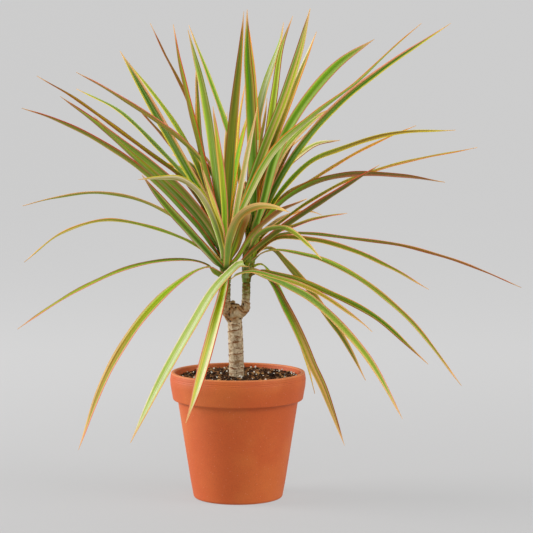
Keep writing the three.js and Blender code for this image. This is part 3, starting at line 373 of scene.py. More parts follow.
RIGHT_LEAVES = [
    Leaf([(10, 254), (6, 259.6), (1, 259.3), (-5, 254.2), (-10, 249.2), (-17.7, 241.4),
          (-28.8, 227.5), (-50.3, 191.4), (-88.3, 124), (-119.3, 60)],
         -120, 0.6, 9.9, "sage pale white sage", "sage pale white mist", "cream tan", 0.3,
         width=10.8),
    Leaf([(13, 276), (4, 340), (-5, 385), (-25, 446), (-53, 520)],
         110, 0.8, 5.5, "olive fresh olive", "fresh sage", "tan yellow", 0.2),
    Leaf([(12, 258), (28, 278), (46, 291), (80, 292), (130, 286), (180, 279), (250, 259),
          (312, 233)],
         60, 1, 3, "moss olive", "bronze rust", "rose rust", 0.1),
    Leaf([(12, 261), (24, 274), (42, 287), (80, 286), (120, 276), (170, 254), (210, 231)],
         140, 1, 5, "bronze moss", "moss olive olive", "rose tan", 0.1),
    Leaf([(11, 250), (15.5, 258), (20.8, 266), (26.4, 270.8), (33.7, 273.3), (41.6, 274.3),
          (50, 273.7), (61.9, 271.7), (75.4, 268.7), (90.5, 264.5), (130, 245), (190, 196),
          (247, 124)],
         -60, 1, 5, "moss sage", "sage olive bronze", "tan orange", 0.15, edge=0.8),
    Leaf([(11, 244), (20, 249.5), (28.1, 251), (37, 249.2), (50, 246.2), (63, 242.8),
          (75.4, 237.8), (100, 227), (150, 201), (210, 148)],
         -100, 1, 5.7, "moss olive", "olive moss deep", "rust orange", 0.15, edge=0.3),
    Leaf([(10, 243.5), (15, 246), (24, 249.5), (31, 247), (38.8, 238), (54, 210), (63, 192.3),
          (74.4, 167), (83, 146.2), (94.8, 121), (118, 57)],
         -100, 1.1, 9.5, "fresh fresh moss bronze rust", "bronze gold tan bronze olive",
         "tan rust", 0.15, edge=0.6),
    Leaf([(11, 256), (19, 269), (27, 275), (34, 276.6), (41.5, 273), (50.2, 263.8), (65.4, 246.6),
          (79.3, 229.8), (105, 192.3), (112.9, 181.6), (123.4, 164.2), (141, 130)],
         90, 0.8, 7.6, "moss khaki olive", "olive moss gold", "orange tan", 0.15, edge=0.8),
    Leaf([(11, 250), (19, 256.5), (24.7, 258.6), (30, 256.5), (34.3, 251.9), (43.9, 236.7),
          (55, 213), (63.5, 190), (70.5, 169), (75.6, 153), (81.2, 131), (85, 115)],
         60, 0.8, 3.5, "fresh", "tan", "orange yellow", 0.1, edge=0.4),
    Leaf([(13, 264), (20, 288), (38, 298), (55, 297), (77.3, 280.3), (92.5, 264)],
         -200, 1.3, 5, "sage olive", "lime olive yellow", "tan yellow", 0.2),
    Leaf([(13, 267), (34, 289), (60, 300), (90, 310), (120, 315)],
         200, 1, 3.5, "olive bronze", "gold bronze", "yellow rose", 0.1),
    Leaf([(13, 270), (22, 288), (40, 304), (60, 314), (80, 317), (92, 313)],
         200, 1, 3.5, "khaki", "tan", "tan tan", 0.1),
    Leaf([(13, 262), (26, 288), (50, 307), (80, 328), (120, 350), (180, 370), (262, 387)],
         80, 1, 3, "olive", "gold tan", "yellow orange", 0.1),
    Leaf([(14, 272), (25, 300), (50, 329), (80, 347), (120, 357), (180, 356), (227, 349)],
         -80, 1, 5.5, "fresh olive", "bronze rose", "rust rust", 0.1),
    Leaf([(14, 275), (30, 310), (55, 337), (80, 350), (120, 375), (160, 396), (195, 411)],
         120, 1, 3, "khaki", "gold orange", "orange orange", 0.1),
    Leaf([(14, 278), (28, 308), (50, 341), (80, 371), (110, 384), (170, 402), (238, 406)],
         40, 1, 5, "fresh olive", "bronze gold", "yellow yellow", 0.1),
    Leaf([(15, 281), (24, 312), (33.5, 338), (50, 361.5), (66.5, 378), (87, 391), (112, 395)],
         180, 1, 6.5, "pale moss pale", "pale khaki cream", "cream rust", 0.5, taper=0.6),
    Leaf([(13, 266), (25, 305), (40, 341), (70, 389), (110, 434), (160, 474), (232, 522)],
         60, 1, 7.5, "moss deep mist fresh", "rose moss deep moss", "rose yellow", 0.15),
    Leaf([(15, 284), (30, 335), (50, 383), (85, 419), (108, 432)],
         130, 1, 9, "cream lime sage cream", "pale lime sage tan", "orange tan", 0.5),
    Leaf([(14, 280), (27.5, 325), (43.2, 381.5), (68.3, 429.5), (109, 477.5), (149, 505)],
         -30, 1, 10.4, "fresh deep fresh pale fresh", "lime fresh fresh pale fresh", "rose rose",
         0.15, taper=0.68),
    Leaf([(15, 286), (22, 340), (41.5, 398), (62, 452), (86, 513)],
         90, 1, 8, "tan moss deep khaki gold", "moss gold", "cream orange", 0.3),
    Leaf([(15, 288), (20, 340), (32, 390), (41, 450), (47.6, 494), (60, 530)],
         30, 1, 8.3, "gold lime fresh lime", "lime olive lime", "rust rust", 0.2),
    Leaf([(14, 283), (17, 345), (20.6, 406), (22.5, 423), (30.4, 455), (38.3, 478), (46.7, 503),
          (50.1, 523)],
         60, 1, 9, "lime white mist white", "sage white mist", "lime tan", 0.4),
    Leaf([(14, 277), (17.2, 330), (16.3, 372), (15.2, 406), (13.1, 456), (11.4, 478), (10.6, 500),
          (10.4, 537)],
         20, 1, 11, "fresh mist fresh deep moss", "olive fresh deep moss gold", "tan rust", 0.1,
         width=11.1, taper=0.55),
    Leaf([(16, 290), (22, 340), (45, 375), (75, 402)],
         130, 1, 4, "khaki tan", "tan", "tan tan", 0.2),
    Leaf([(13, 274), (20, 300), (27, 345), (36, 388)],
         60, 1, 8, "deep moss", "deep", "rust orange", 0.1),
    Leaf([(14, 285), (30, 330), (52, 378), (70, 408)],
         100, 1, 7, "cream bronze khaki olive", "olive bronze", "tan rust", 0.2),
    Leaf([(7, 249.5), (12, 252), (19.1, 251), (27.5, 247.2), (37.1, 243.3), (45, 239.9),
          (58.5, 233), (80, 220.8), (120, 183.3), (150, 145), (182, 87)],
         -130, 0.6, 7.7, "sage mist sage", "khaki sage khaki", "tan rose", 0.3),
    Leaf([(15, 280), (20, 340), (20, 400), (18, 440), (15.4, 478), (13.3, 500), (11.2, 520),
          (10.7, 532)],
         60, 1, 9, "lime fresh lime", "lime olive", "rust orange", 0.1),
    Leaf([(15, 284), (20, 340), (25.3, 392), (29.3, 417), (32.1, 441)],
         60, 1, 4, "olive moss", "olive", "orange rust", 0.1),
    Leaf([(14, 286), (19, 340), (24, 392), (25.3, 421)],
         90, 1, 3, "bronze", "rust", "rust rust", 0),
]
LEFT_HEAD = Head(11, -12.5, (-14, 262), (-17, 318), -4, (-85, -8), LEFT_LEAVES)
RIGHT_HEAD = Head(23, 9.3, (12, 262), (21, 318), 4, (0, 45), RIGHT_LEAVES)


def colour(code):
    """A colour as the nodes take it, from its usual six-digit code."""
    shares = [int(code[start : start + 2], 16) / 255 for start in (0, 2, 4)]
    linear = [s / 12.92 if s <= 0.04045 else ((s + 0.055) / 1.055) ** 2.4 for s in shares]
    return (*linear, 1.0)


# ---- Settings that a user would change ----

PAINT = {"subtype": "COLOR", "size": 4}


class PotSettings(bpy.types.PropertyGroup):
    height: FloatProperty(
        name="Height", description="From the foot to the top of the lip",
        default=POT_BOX[1].z, unit="LENGTH",
    )
    rim_radius: FloatProperty(
        name="Rim radius", description="Outer radius of the rim band where it is widest",
        default=75 * MM, unit="LENGTH",
    )
    foot_radius: FloatProperty(
        name="Foot radius", description="Outer radius just above the rounded foot",
        default=49.6 * MM, unit="LENGTH",
    )
    wall: FloatProperty(
        name="Wall", description="Thickness of the wall", default=WALL * MM, unit="LENGTH"
    )
    clay: FloatVectorProperty(
        name="Clay", description="Colour of the fired clay", default=colour("bc5010"), **PAINT
    )
    bloom: FloatVectorProperty(
        name="Bloom", description="Colour of the lighter patches on the clay",
        default=colour("c86824"), **PAINT,
    )


class MixSettings(bpy.types.PropertyGroup):
    crumbs: IntProperty(
        name="Bark crumbs", description="How many crumbs of bark lie on the mix", default=1500
    )
    perlite: IntProperty(
        name="Perlite", description="How many grains of perlite lie on the mix", default=95
    )
    crumb_size: FloatProperty(
        name="Crumb size", description="Length of a middling crumb of bark",
        default=3.4 * MM, unit="LENGTH",
    )
    perlite_size: FloatProperty(
        name="Perlite size", description="Width of a middling grain of perlite",
        default=1.7 * MM, unit="LENGTH",
    )
    dark: FloatVectorProperty(
        name="Mix", description="Colour of the damp mix", default=colour("241509"), **PAINT
    )


class CaneSettings(bpy.types.PropertyGroup):
    scar_depth: FloatProperty(
        name="Scar depth", description="How far the old leaf scars stand out from the bark",
        default=0.35 * MM, unit="LENGTH",
    )
    scar_spacing: FloatProperty(
        name="Scar spacing", description="Middling distance between two leaf scars",
        default=4.8 * MM, unit="LENGTH",
    )
    bark: FloatVectorProperty(
        name="Bark", description="Colour of the old bark", default=colour("a89478"), **PAINT
    )
    scar: FloatVectorProperty(
        name="Scar", description="Colour of the leaf scars", default=colour("5e3412"), **PAINT
    )
    young: FloatVectorProperty(
        name="Young bark", description="Colour of the bark near the leaves",
        default=colour("74701c"), **PAINT,
    )


class LeafSettings(bpy.types.PropertyGroup):
    thickness: FloatProperty(
        name="Thickness", description="Thickness of a blade", default=0.6 * MM, unit="LENGTH"
    )
    edge_width: FloatProperty(
        name="Edge width", description="Width of the coloured edge of a blade",
        default=0.95 * MM, unit="LENGTH",
    )
    cream: FloatVectorProperty(
        name="Cream", description="Colour of the pale bands beside the edges",
        default=colour("dcd898"), **PAINT,
    )
    dried: FloatVectorProperty(
        name="Dried tip", description="Colour of the dried tips", default=colour("dcae74"), **PAINT
    )
    stem: FloatVectorProperty(
        name="Stem", description="Colour of the green stem under the leaves",
        default=colour("55661a"), **PAINT,
    )


class StageSettings(bpy.types.PropertyGroup):
    floor: FloatVectorProperty(
        name="Floor", description="Colour of the floor and the backdrop",
        default=colour("616060"), **PAINT,
    )
    glow: FloatProperty(
        name="Glow", description="How much the backdrop shines by itself", default=0.54
    )
    left_light: FloatProperty(
        name="Left light", description="Power of the large light on the left",
        default=66, unit="POWER",
    )
    right_light: FloatProperty(
        name="Right light", description="Power of the large light on the right",
        default=36, unit="POWER",
    )
    front_light: FloatProperty(
        name="Front light", description="Power of the light over the camera",
        default=19, unit="POWER",
    )
    sky: FloatProperty(
        name="Sky", description="Strength of the even light from all round", default=0.34
    )


SETTINGS = {
    "dracaena_pot": PotSettings,
    "dracaena_mix": MixSettings,
    "dracaena_cane": CaneSettings,
    "dracaena_leaf": LeafSettings,
    "dracaena_stage": StageSettings,
}


# ---- Making shapes ----


def clear_selection():
    """Nothing selected and nothing in edit mode, so that an operator takes only what is new."""
    if bpy.context.object and bpy.context.object.mode != "OBJECT":
        bpy.ops.object.mode_set(mode="OBJECT")
    bpy.ops.object.select_all(action="DESELECT")


def pick(*pieces):
    """Only these pieces selected, the first of them active."""
    clear_selection()
    for piece in pieces:
        piece.select_set(True)
    bpy.context.view_layer.objects.active = pieces[0]


def join(*pieces):
    """The pieces joined into the first of them."""
    pick(*pieces)
    bpy.ops.object.join()
    return bpy.context.object


def settle():
    """The active piece's place goes into its mesh, and its origin to the frame's."""
    bpy.ops.object.transform_apply(location=True, rotation=True, scale=True)


def smooth_by_angle(piece, degrees):
    """Smooth shading, apart from edges that are sharper than this."""
    pick(piece)
    bpy.ops.object.shade_smooth_by_angle(angle=math.radians(degrees))


def apply_modifier(piece, kind, **values):
    """One modifier, set and applied."""
    pick(piece)
    bpy.ops.object.modifier_add(type=kind)
    modifier = piece.modifiers[-1]
    for name, value in values.items():
        setattr(modifier, name, value)
    bpy.ops.object.modifier_apply(modifier=modifier.name)


def add_piece(name, mesh):
    """A new piece with this mesh."""
    piece = bpy.data.objects.new(name, mesh)
    bpy.context.scene.collection.objects.link(piece)
    return piece


def rounded(radius, height, rounding, start, end, steps):
    """Points of a rounded edge in a profile, from one angle to another in degrees."""
    angles = [math.radians(start + (end - start) * step / steps) for step in range(steps + 1)]
    return [
        (radius + rounding * math.cos(angle), height + rounding * math.sin(angle))
        for angle in angles
    ]


def draw_up(name, profile, sides, is_open=False):
    """A round body: a disc whose edge is extruded ring by ring through a profile of radius
    and height pairs. It is closed at both ends, or left open at its last ring."""
    clear_selection()
    radius, height = profile[0]
    bpy.ops.mesh.primitive_circle_add(
        vertices=sides, radius=radius * MM, fill_type="NGON", location=(0, 0, height * MM)
    )
    body = bpy.context.object
    body.name = name
    settle()
    bpy.ops.object.mode_set(mode="EDIT")
    bpy.ops.mesh.select_mode(type="EDGE" if is_open else "VERT")
    bpy.ops.mesh.select_all(action="SELECT")
    extrude = bpy.ops.mesh.extrude_edges_move if is_open else bpy.ops.mesh.extrude_region_move
    for (radius, height), (new_radius, new_height) in zip(profile, profile[1:]):
        extrude(TRANSFORM_OT_translate={"value": (0, 0, (new_height - height) * MM)})
        scale = new_radius / radius
        bpy.ops.transform.resize(
            value=(scale, scale, 1), center_override=(0, 0, new_height * MM)
        )
    bpy.ops.mesh.select_mode(type="VERT")
    if not is_open:
        bpy.ops.mesh.select_all(action="SELECT")
        bpy.ops.mesh.normals_make_consistent(inside=False)
    bpy.ops.object.mode_set(mode="OBJECT")
    return body


def rod_along(name, points, radii, roundness=6):
    """A rod along a line of points, its radius given point by point, as a closed mesh."""
    clear_selection()
    bpy.ops.curve.primitive_nurbs_path_add()
    rod = bpy.context.object
    rod.name = name
    rod.data.splines.clear()
    spline = rod.data.splines.new("POLY")
    spline.points.add(len(points) - 1)
    for point, place, radius in zip(spline.points, points, radii):
        point.co = (*[value * MM for value in place], 1)
        point.radius = radius
    rod.data.bevel_depth = MM
    rod.data.bevel_resolution = roundness
    rod.data.use_fill_caps = True
    bpy.ops.object.convert(target="MESH")
    settle()
    return bpy.context.object


def running_length(points):
    """The length of a line from its start to each of its points."""
    steps = np.linalg.norm(np.diff(points, axis=0), axis=1)
    return np.concatenate([[0], np.cumsum(steps)])


def smooth_line(points, steps=40):
    """A smooth line through the points, finely sampled, and the running length along it."""
    knots = np.array(points, float)
    knots = np.vstack([2 * knots[0] - knots[1], knots, 2 * knots[-1] - knots[-2]])
    share = np.linspace(0, 1, steps + 1)[1:, None]
    line = [knots[1:2]]
    for before, start, end, after in zip(knots, knots[1:], knots[2:], knots[3:]):
        pairs = ((before, start), (start, end), (end, after))
        first, middle, last = (np.sqrt(np.linalg.norm(b - a)) for a, b in pairs)
        leave = (start - before) / first - (end - before) / (first + middle)
        leave = (leave + (end - start) / middle) * middle
        arrive = (end - start) / middle - (after - start) / (middle + last)
        arrive = (arrive + (after - end) / last) * middle
        line.append(
            start
            + leave * share
            + (-3 * start + 3 * end - 2 * leave - arrive) * share**2
            + (2 * start - 2 * end + leave + arrive) * share**3
        )
    line = np.vstack(line)
    return line, running_length(line)


def along_line(line, lengths, shares):
    """Places on a sampled line at shares of its length."""
    wanted = np.asarray(shares) * lengths[-1]
    return np.stack([np.interp(wanted, lengths, line[:, axis]) for axis in range(line.shape[1])], 1)


def ease(value, start=0.0, end=1.0):
    """0 before start, 1 after end, and smooth between them."""
    share = np.clip((np.asarray(value, float) - start) / (end - start), 0, 1)
    return share * share * (3 - 2 * share)


def unit(vectors):
    """Vectors of length one."""
    return vectors / np.maximum(np.linalg.norm(vectors, axis=-1, keepdims=True), 1e-12)


def point_values(mesh, name="co"):
    """Three values for each point of a mesh, such as its place, as an array."""
    values = np.empty(len(mesh.vertices) * 3)
    mesh.vertices.foreach_get(name, values)
    return values.reshape(-1, 3)


def get_places(mesh):
    """A mesh's points as an array, in millimetres."""
    return point_values(mesh) / MM


def set_places(mesh, places):
    """Moves a mesh's points to these places, in millimetres."""
    mesh.vertices.foreach_set("co", (places * MM).ravel())
    mesh.update()


def add_values(mesh, **layers):
    """Named values for each point of a mesh, for its material to read. One number stands
    for all the points."""
    for name, values in layers.items():
        if np.ndim(values) == 0:
            values = np.full(len(mesh.vertices), values)
        is_colour = np.ndim(values) == 2
        layer = mesh.attributes.new(name, "FLOAT_COLOR" if is_colour else "FLOAT", "POINT")
        layer.data.foreach_set("color" if is_colour else "value", np.ravel(values))


def finish_piece(piece, node, slot, *materials):
    """Gives a piece its place in the frame, and its finishes where it hasn't got them yet."""
    for material in materials:
        piece.data.materials.append(material)
    if node:
        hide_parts(node)
    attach(piece, "root")


# ---- Finishes ----


class Nodes:
    """The nodes of a material or of a group, laid out from left to right as they are added."""

    def __init__(self, tree):
        self.tree = tree
        self.count = 0

    def feed(self, socket, value):
        """Links a socket, or sets a value or a colour code. None leaves it as it is."""
        if isinstance(value, bpy.types.NodeSocket):
            self.tree.links.new(value, socket)
        elif value is not None:
            socket.default_value = colour(value) if isinstance(value, str) else value

    def add(self, kind, *inputs, named=None, **settings):
        """A node with its inputs in order and by name."""
        node = self.tree.nodes.new(kind)
        node.location = (self.count * 190, -60 * (self.count % 4))
        self.count += 1
        for name, value in settings.items():
            setattr(node, name, value)
        for socket, value in zip(node.inputs, inputs):
            self.feed(socket, value)
        for name, value in (named or {}).items():
            self.feed(node.inputs[name], value)
        return node

    def math(self, operation, first, second=None):
        """One operation on one or two values."""
        return self.add("ShaderNodeMath", first, second, operation=operation).outputs[0]

    def times(self, first, second):
        """The product of two values."""
        return self.math("MULTIPLY", first, second)

    def spread(self, value, start, end, low=0.0, high=1.0):
        """A value's range from start to end made low to high, with soft ends."""
        node = self.add(
            "ShaderNodeMapRange", value, start, end, low, high, interpolation_type="SMOOTHSTEP"
        )
        return node.outputs[0]

    def blend(self, share, first, second, most=None, blend_type="MIX"):
        """Two colours mixed by a share, which is scaled by most where that is given."""
        if most is not None:
            share = self.times(share, most)
        node = self.add("ShaderNodeMix", share, data_type="RGBA", blend_type=blend_type)
        self.feed(node.inputs[6], first)
        self.feed(node.inputs[7], second)
        return node.outputs[2]

    def shade(self, base, amount):
        """A colour made darker or lighter by an amount."""
        grey = self.add("ShaderNodeCombineColor", amount, amount, amount).outputs[0]
        return self.blend(1.0, base, grey, blend_type="MULTIPLY")

    def noise(self, place, scale, detail=3.0, roughness=0.55):
        """A cloudy value from 0 to 1."""
        named = {"Scale": scale, "Detail": detail, "Roughness": roughness}
        return self.add("ShaderNodeTexNoise", place, named=named).outputs[0]

    def attribute(self, name, output="Fac"):
        """A value that the mesh carries."""
        return self.add("ShaderNodeAttribute", attribute_name=name).outputs[output]

    def part(self, place, axis):
        """One part of a place."""
        return self.add("ShaderNodeSeparateXYZ", place).outputs[axis]

    def mapped(self, place, scale, degrees=0):
        """A place turned about Y and stretched."""
        named = {"Rotation": (0, math.radians(degrees), 0), "Scale": scale}
        return self.add("ShaderNodeMapping", place, named=named).outputs[0]

    def specks(self, place, scale, share):
        """Scattered light and dark specks."""
        named = {"Place": place, "Scale": scale, "Share": share}
        node = self.add("ShaderNodeGroup", node_tree=speckle_group(), named=named)
        return node.outputs["Light"], node.outputs["Dark"]


class Finish(Nodes):
    """A material as it is made: its nodes and its shader."""

    def __init__(self, name, roughness, specular):
        self.material = bpy.data.materials.new(name)
        self.material.use_nodes = True
        super().__init__(self.material.node_tree)
        self.shader = self.tree.nodes["Principled BSDF"]
        self.shader.inputs["Roughness"].default_value = roughness
        self.shader.inputs["Specular IOR Level"].default_value = specular

    @cached_property
    def place(self):
        """Where a point is on the object."""
        return self.add("ShaderNodeTexCoord").outputs["Object"]

    def done(self, base, height, relief, depth):
        """Leads a colour and a height into the shader, and gives the material."""
        self.feed(self.shader.inputs["Base Color"], base)
        named = {"Strength": relief, "Distance": depth * MM, "Height": height}
        bump = self.add("ShaderNodeBump", named=named)
        self.feed(self.shader.inputs["Normal"], bump.outputs["Normal"])
        self.shader.location = (self.count * 190, 0)
        self.tree.nodes["Material Output"].location = (self.count * 190 + 320, 0)
        return self.material


def new_group(name, inputs, outputs):
    """An empty node group with named sockets, its nodes and its given values, or the group
    alone where it is already made."""
    if name in bpy.data.node_groups:
        return bpy.data.node_groups[name], None, None
    group = bpy.data.node_groups.new(name, "ShaderNodeTree")
    for side, sockets in (("INPUT", inputs), ("OUTPUT", outputs)):
        for label, kind in sockets.items():
            group.interface.new_socket(label, in_out=side, socket_type=f"NodeSocket{kind}")
    nodes = Nodes(group)
    return group, nodes, nodes.add("NodeGroupInput").outputs


def speckle_group():
    """Scattered specks, some light and some dark, of one size."""
    group, nodes, given = new_group(
        "Specks",
        {"Place": "Vector", "Scale": "Float", "Share": "Float"},
        {"Light": "Float", "Dark": "Float"},
    )
    if nodes is None:
        return group
    cells = nodes.add("ShaderNodeTexVoronoi", given["Place"], named={"Scale": given["Scale"]})
    lot = nodes.add("ShaderNodeSeparateColor", cells.outputs["Color"])
    dot = nodes.spread(cells.outputs["Distance"], 0.12, 0.3, 1.0, 0.0)
    speck = nodes.times(dot, nodes.math("LESS_THAN", lot.outputs[0], given["Share"]))
    light = nodes.times(speck, nodes.math("GREATER_THAN", lot.outputs[1], 0.5))
    nodes.add("NodeGroupOutput", light, nodes.math("SUBTRACT", speck, light))
    return group


def clay_finish(pot):
    """Matt fired clay: a little cloudy, finely grained, with light and dark specks, and a painted
    highlight along the top of its lip.
    """
    make = Finish("fired clay", 0.62, 0.5)
    cloud = make.noise(make.place, 16, 4)
    grain = make.noise(make.place, 900, 2)
    base = make.blend(make.spread(cloud, 0.4, 0.72, 0, 0.6), tuple(pot.clay), tuple(pot.bloom))
    base = make.shade(base, make.spread(grain, 0.25, 0.75, 0.92, 1.06))
    light, dark = make.specks(make.place, 480, 0.16)
    base = make.blend(light, base, "e0a080", 0.32)
    base = make.blend(dark, base, "6a2c12", 0.3)
    # The top of the lip turns paler: a painted highlight.
    lip = [(pot.height / MM - below) * MM for below in LIP_HIGHLIGHT_FADE]
    base = make.blend(make.spread(make.part(make.place, 2), *lip, 0, 0.5), base, "dc8c54")
    relief = make.math("ADD", grain, make.times(make.noise(make.place, 260, 3), 0.8))
    return make.done(base, relief, 0.35, 0.3)


def grain_finish(name, roughness, specular, cloud, limits, first, second, relief, depth):
    """A surface that is grainy between two colours."""
    make = Finish(name, roughness, specular)
    grain = make.noise(make.place, *cloud)
    base = make.blend(make.spread(grain, *limits), first, second)
    return make.done(base, grain, relief, depth)


def mix_finish(mix):
    """Damp peat: very dark, crumbly."""
    colours = (tuple(mix.dark), "4a2e18")
    return grain_finish("peat", 0.95, 0.2, (700, 4, 0.7), (0.35, 0.75), *colours, 1.0, 1.2)


def crumb_finish():
    """Crumbs of bark, from nearly black to mid brown, each with its own tone."""
    make = Finish("bark crumbs", 0.85, 0.25)
    ramp = make.add("ShaderNodeValToRGB", make.attribute("lot"))
    stops = ramp.color_ramp.elements
    stops[0].color = colour("1c1008")
    stops[1].position, stops[1].color = 1.0, colour("b88a56")
    stops.new(0.3).color = colour("442812")
    stops.new(0.7).color = colour("7c4f28")
    grain = make.noise(make.place, 1100, 3)
    base = make.shade(ramp.outputs[0], make.spread(grain, 0.3, 0.7, 0.75, 1.2))
    return make.done(base, grain, 0.6, 0.4)


def perlite_finish():
    """White expanded grains with fine pits."""
    colours = ("c4b8a4", "f4f0e6")
    return grain_finish("perlite", 0.9, 0.3, (1500, 2), (0.35, 0.7), *colours, 0.7, 0.3)


def bark_finish(cane):
    """Grey-beige bark with brown scars and specks, greener towards the leaves, with painted shade
    in its pits, its knob's slot and its creases.
    """
    make = Finish("cane bark", 0.82, 0.2)
    height = make.part(make.place, 2)
    patches = make.noise(make.mapped(make.place, (1, 1, 2.4)), 170, 4, 0.65)
    fine = make.noise(make.place, 420, 4, 0.7)
    brown = make.spread(make.noise(make.place, 300, 3), 0.5, 0.62, 0, 0.75)
    blotches = make.spread(make.noise(make.place, 230, 2), 0.54, 0.62)
    pale = make.times(blotches, make.spread(height, 205 * MM, 212 * MM, 0, 0.4))
    scar = make.math("ADD", make.attribute("scar"), fine)
    light, dark = make.specks(make.place, 430, 0.5)
    base = make.blend(make.spread(patches, 0.38, 0.62), tuple(cane.bark), "c8b698")
    coats = (
        (brown, "80603a", None),
        (make.spread(height, 210 * MM, 232 * MM), tuple(cane.young), 0.8),
        (make.spread(height, 221 * MM, 234 * MM, 0, 0.8), "5c6410", None),
        (pale, "b4a878", None),
        (make.attribute("gnarled"), "94703c", 0.55),
        (make.attribute("worn"), "b8a688", 0.8),
        (make.spread(scar, 0.7, 1.0, 0, 0.95), tuple(cane.scar), None),
        # Rusty orange-brown on the ridges, the rust lines and the crease stains, and on the knob's
        # top a painted highlight.
        (make.attribute("ridge"), "94581c", 0.85),
        (dark, "4a2c12", 0.8),
        (light, "d5cbb8", 0.35),
        # Near black in the pits, the knob's slot and the creases' cores: painted shade in these
        # hollows.
        (make.spread(make.attribute("pit"), 0.15, 0.7, 0, 0.95), "1c0e04", None),
    )
    for share, over, most in coats:
        base = make.blend(share, base, over, most)
    return make.done(base, make.math("ADD", fine, patches), 0.8, 0.6)


def cut_finish():
    """The old cut's end grain, brown and dry."""
    colours = ("523620", "8c683c")
    return grain_finish("old cut", 0.9, 0.2, (600, 4, 0.7), (0.35, 0.7), *colours, 1.0, 0.8)


def stripe_group():
    """A blade's colours: a toned middle with fine lengthwise lines, a cream band, a coloured edge
    that takes over towards the tip, and painted shade near its root."""
    colours = dict.fromkeys(("Tone", "Edge", "Cream", "Dried"), "Color")
    group, nodes, given = new_group(
        "Blade stripes",
        {**colours, "Edge width": "Float", "Cream share": "Float"},
        {"Colour": "Color", "Height": "Float"},
    )
    if nodes is None:
        return group
    from_edge = nodes.attribute("from_edge")
    to_tip = nodes.attribute("to_tip")
    blade = nodes.add("ShaderNodeUVMap", uv_map="UVMap").outputs[0]
    side, run = nodes.part(blade, 0), nodes.part(blade, 1)
    shift = nodes.times(nodes.attribute("lot"), 41.0)

    def streaks(across, along):
        """Lengthwise streaks, this many across and along the blade."""
        spot = (nodes.times(side, across), nodes.times(run, along), shift)
        return nodes.noise(nodes.add("ShaderNodeCombineXYZ", *spot).outputs[0], 1.0, 2.0)

    def near_edge(place, start, end):
        """1 at the blade's edge and 0 past a share of the coloured edge's width."""
        width = given["Edge width"]
        return nodes.spread(place, nodes.times(width, start), nodes.times(width, end), 1.0, 0.0)

    fine = streaks(30.0, 1.6)
    broad = streaks(8.0, 1.1)
    base = nodes.shade(given["Tone"], nodes.spread(fine, 0.3, 0.7, 0.6, 1.3))
    off_middle = nodes.math("ABSOLUTE", nodes.math("SUBTRACT", side, 0.5))
    middle = nodes.spread(off_middle, 0.05, 0.3)
    base = nodes.shade(base, nodes.spread(middle, 0.0, 1.0, 0.9, 1.04))
    streak = nodes.times(nodes.spread(broad, 0.54, 0.66), given["Cream share"])
    base = nodes.blend(streak, base, given["Cream"])
    wander = nodes.times(nodes.math("SUBTRACT", broad, 0.5), 2.4)
    band = near_edge(nodes.math("ADD", from_edge, wander), 1.43, 2.6)
    band = nodes.times(band, nodes.times(given["Cream share"], 1.2))
    base = nodes.blend(nodes.math("MINIMUM", band, 0.85), base, given["Cream"])
    edge = near_edge(nodes.math("ADD", from_edge, nodes.times(wander, 0.22)), 0.6, 1.2)
    base = nodes.blend(edge, base, given["Edge"])
    base = nodes.blend(nodes.spread(to_tip, 8.0, 45.0, 0.25, 0.0), base, given["Edge"])
    base = nodes.blend(nodes.spread(to_tip, 2.0, 24.0, 0.9, 0.0), base, given["Dried"])
    # Darker olive near each leaf's root: painted shade where the leaves crowd round the stem.
    young = nodes.spread(nodes.attribute("from_root"), 3.0, 20.0, 0.6, 0.0)
    base = nodes.blend(young, base, "4e5c0c")
    nodes.add("NodeGroupOutput", base, nodes.math("ADD", fine, broad))
    return group


def blade_finish(name, leaves, roughness, pale):
    """The upper or the under side of the blades."""
    make = Finish(name, roughness, 0.06)
    named = {
        "Tone": make.attribute("tone", "Color"),
        "Edge": make.attribute("edge", "Color"),
        "Cream": tuple(leaves.cream),
        "Dried": tuple(leaves.dried),
        "Edge width": leaves.edge_width / MM,
        "Cream share": make.attribute("cream"),
    }
    node = make.add("ShaderNodeGroup", node_tree=stripe_group(), named=named)
    base = node.outputs["Colour"]
    if pale:
        base = make.blend(pale, base, "b3bc78")
    return make.done(base, node.outputs["Height"], 0.3, 0.25)


def stem_finish(leaves):
    """The green stem among the leaf bases: overlapping streaks, with painted shade in the gaps
    between them.
    """
    make = Finish("green stem", 0.6, 0.1)
    first, second = (
        make.noise(make.mapped(make.place, (1, 1, 0.3), lean), 420, 2) for lean in (24, -24)
    )
    cloud = make.math("MAXIMUM", first, second)
    base = make.blend(make.spread(cloud, 0.5, 0.62), tuple(leaves.stem), "8a9a1c")
    # Near-black green between the streaks: painted shade in the gaps.
    base = make.blend(make.spread(cloud, 0.4, 0.52, 1, 0), base, "1c2a02")
    rusty = make.spread(make.noise(make.place, 160, 2), 0.56, 0.64, 0, 0.6)
    return make.done(make.blend(rusty, base, "6a3208"), cloud, 0.9, 0.8)


def floor_finish(stage):
    """Plain pale paper."""
    make = Finish("pale paper", 0.9, 0.1)
    make.shader.inputs["Base Color"].default_value = tuple(stage.floor)
    far = make.spread(make.part(make.place, 1), -0.4, 1.4)
    make.feed(make.shader.inputs["Emission Color"], make.blend(far, "e6e6e6", "ffffff"))
    make.shader.inputs["Emission Strength"].default_value = stage.glow
    return make.material


# ---- Pot ----


def wall_slope(pot):
    """How much the pot's wall leans out, per millimetre of height."""
    return (NECK[0][0] - pot.foot_radius / MM) / NECK[0][1]


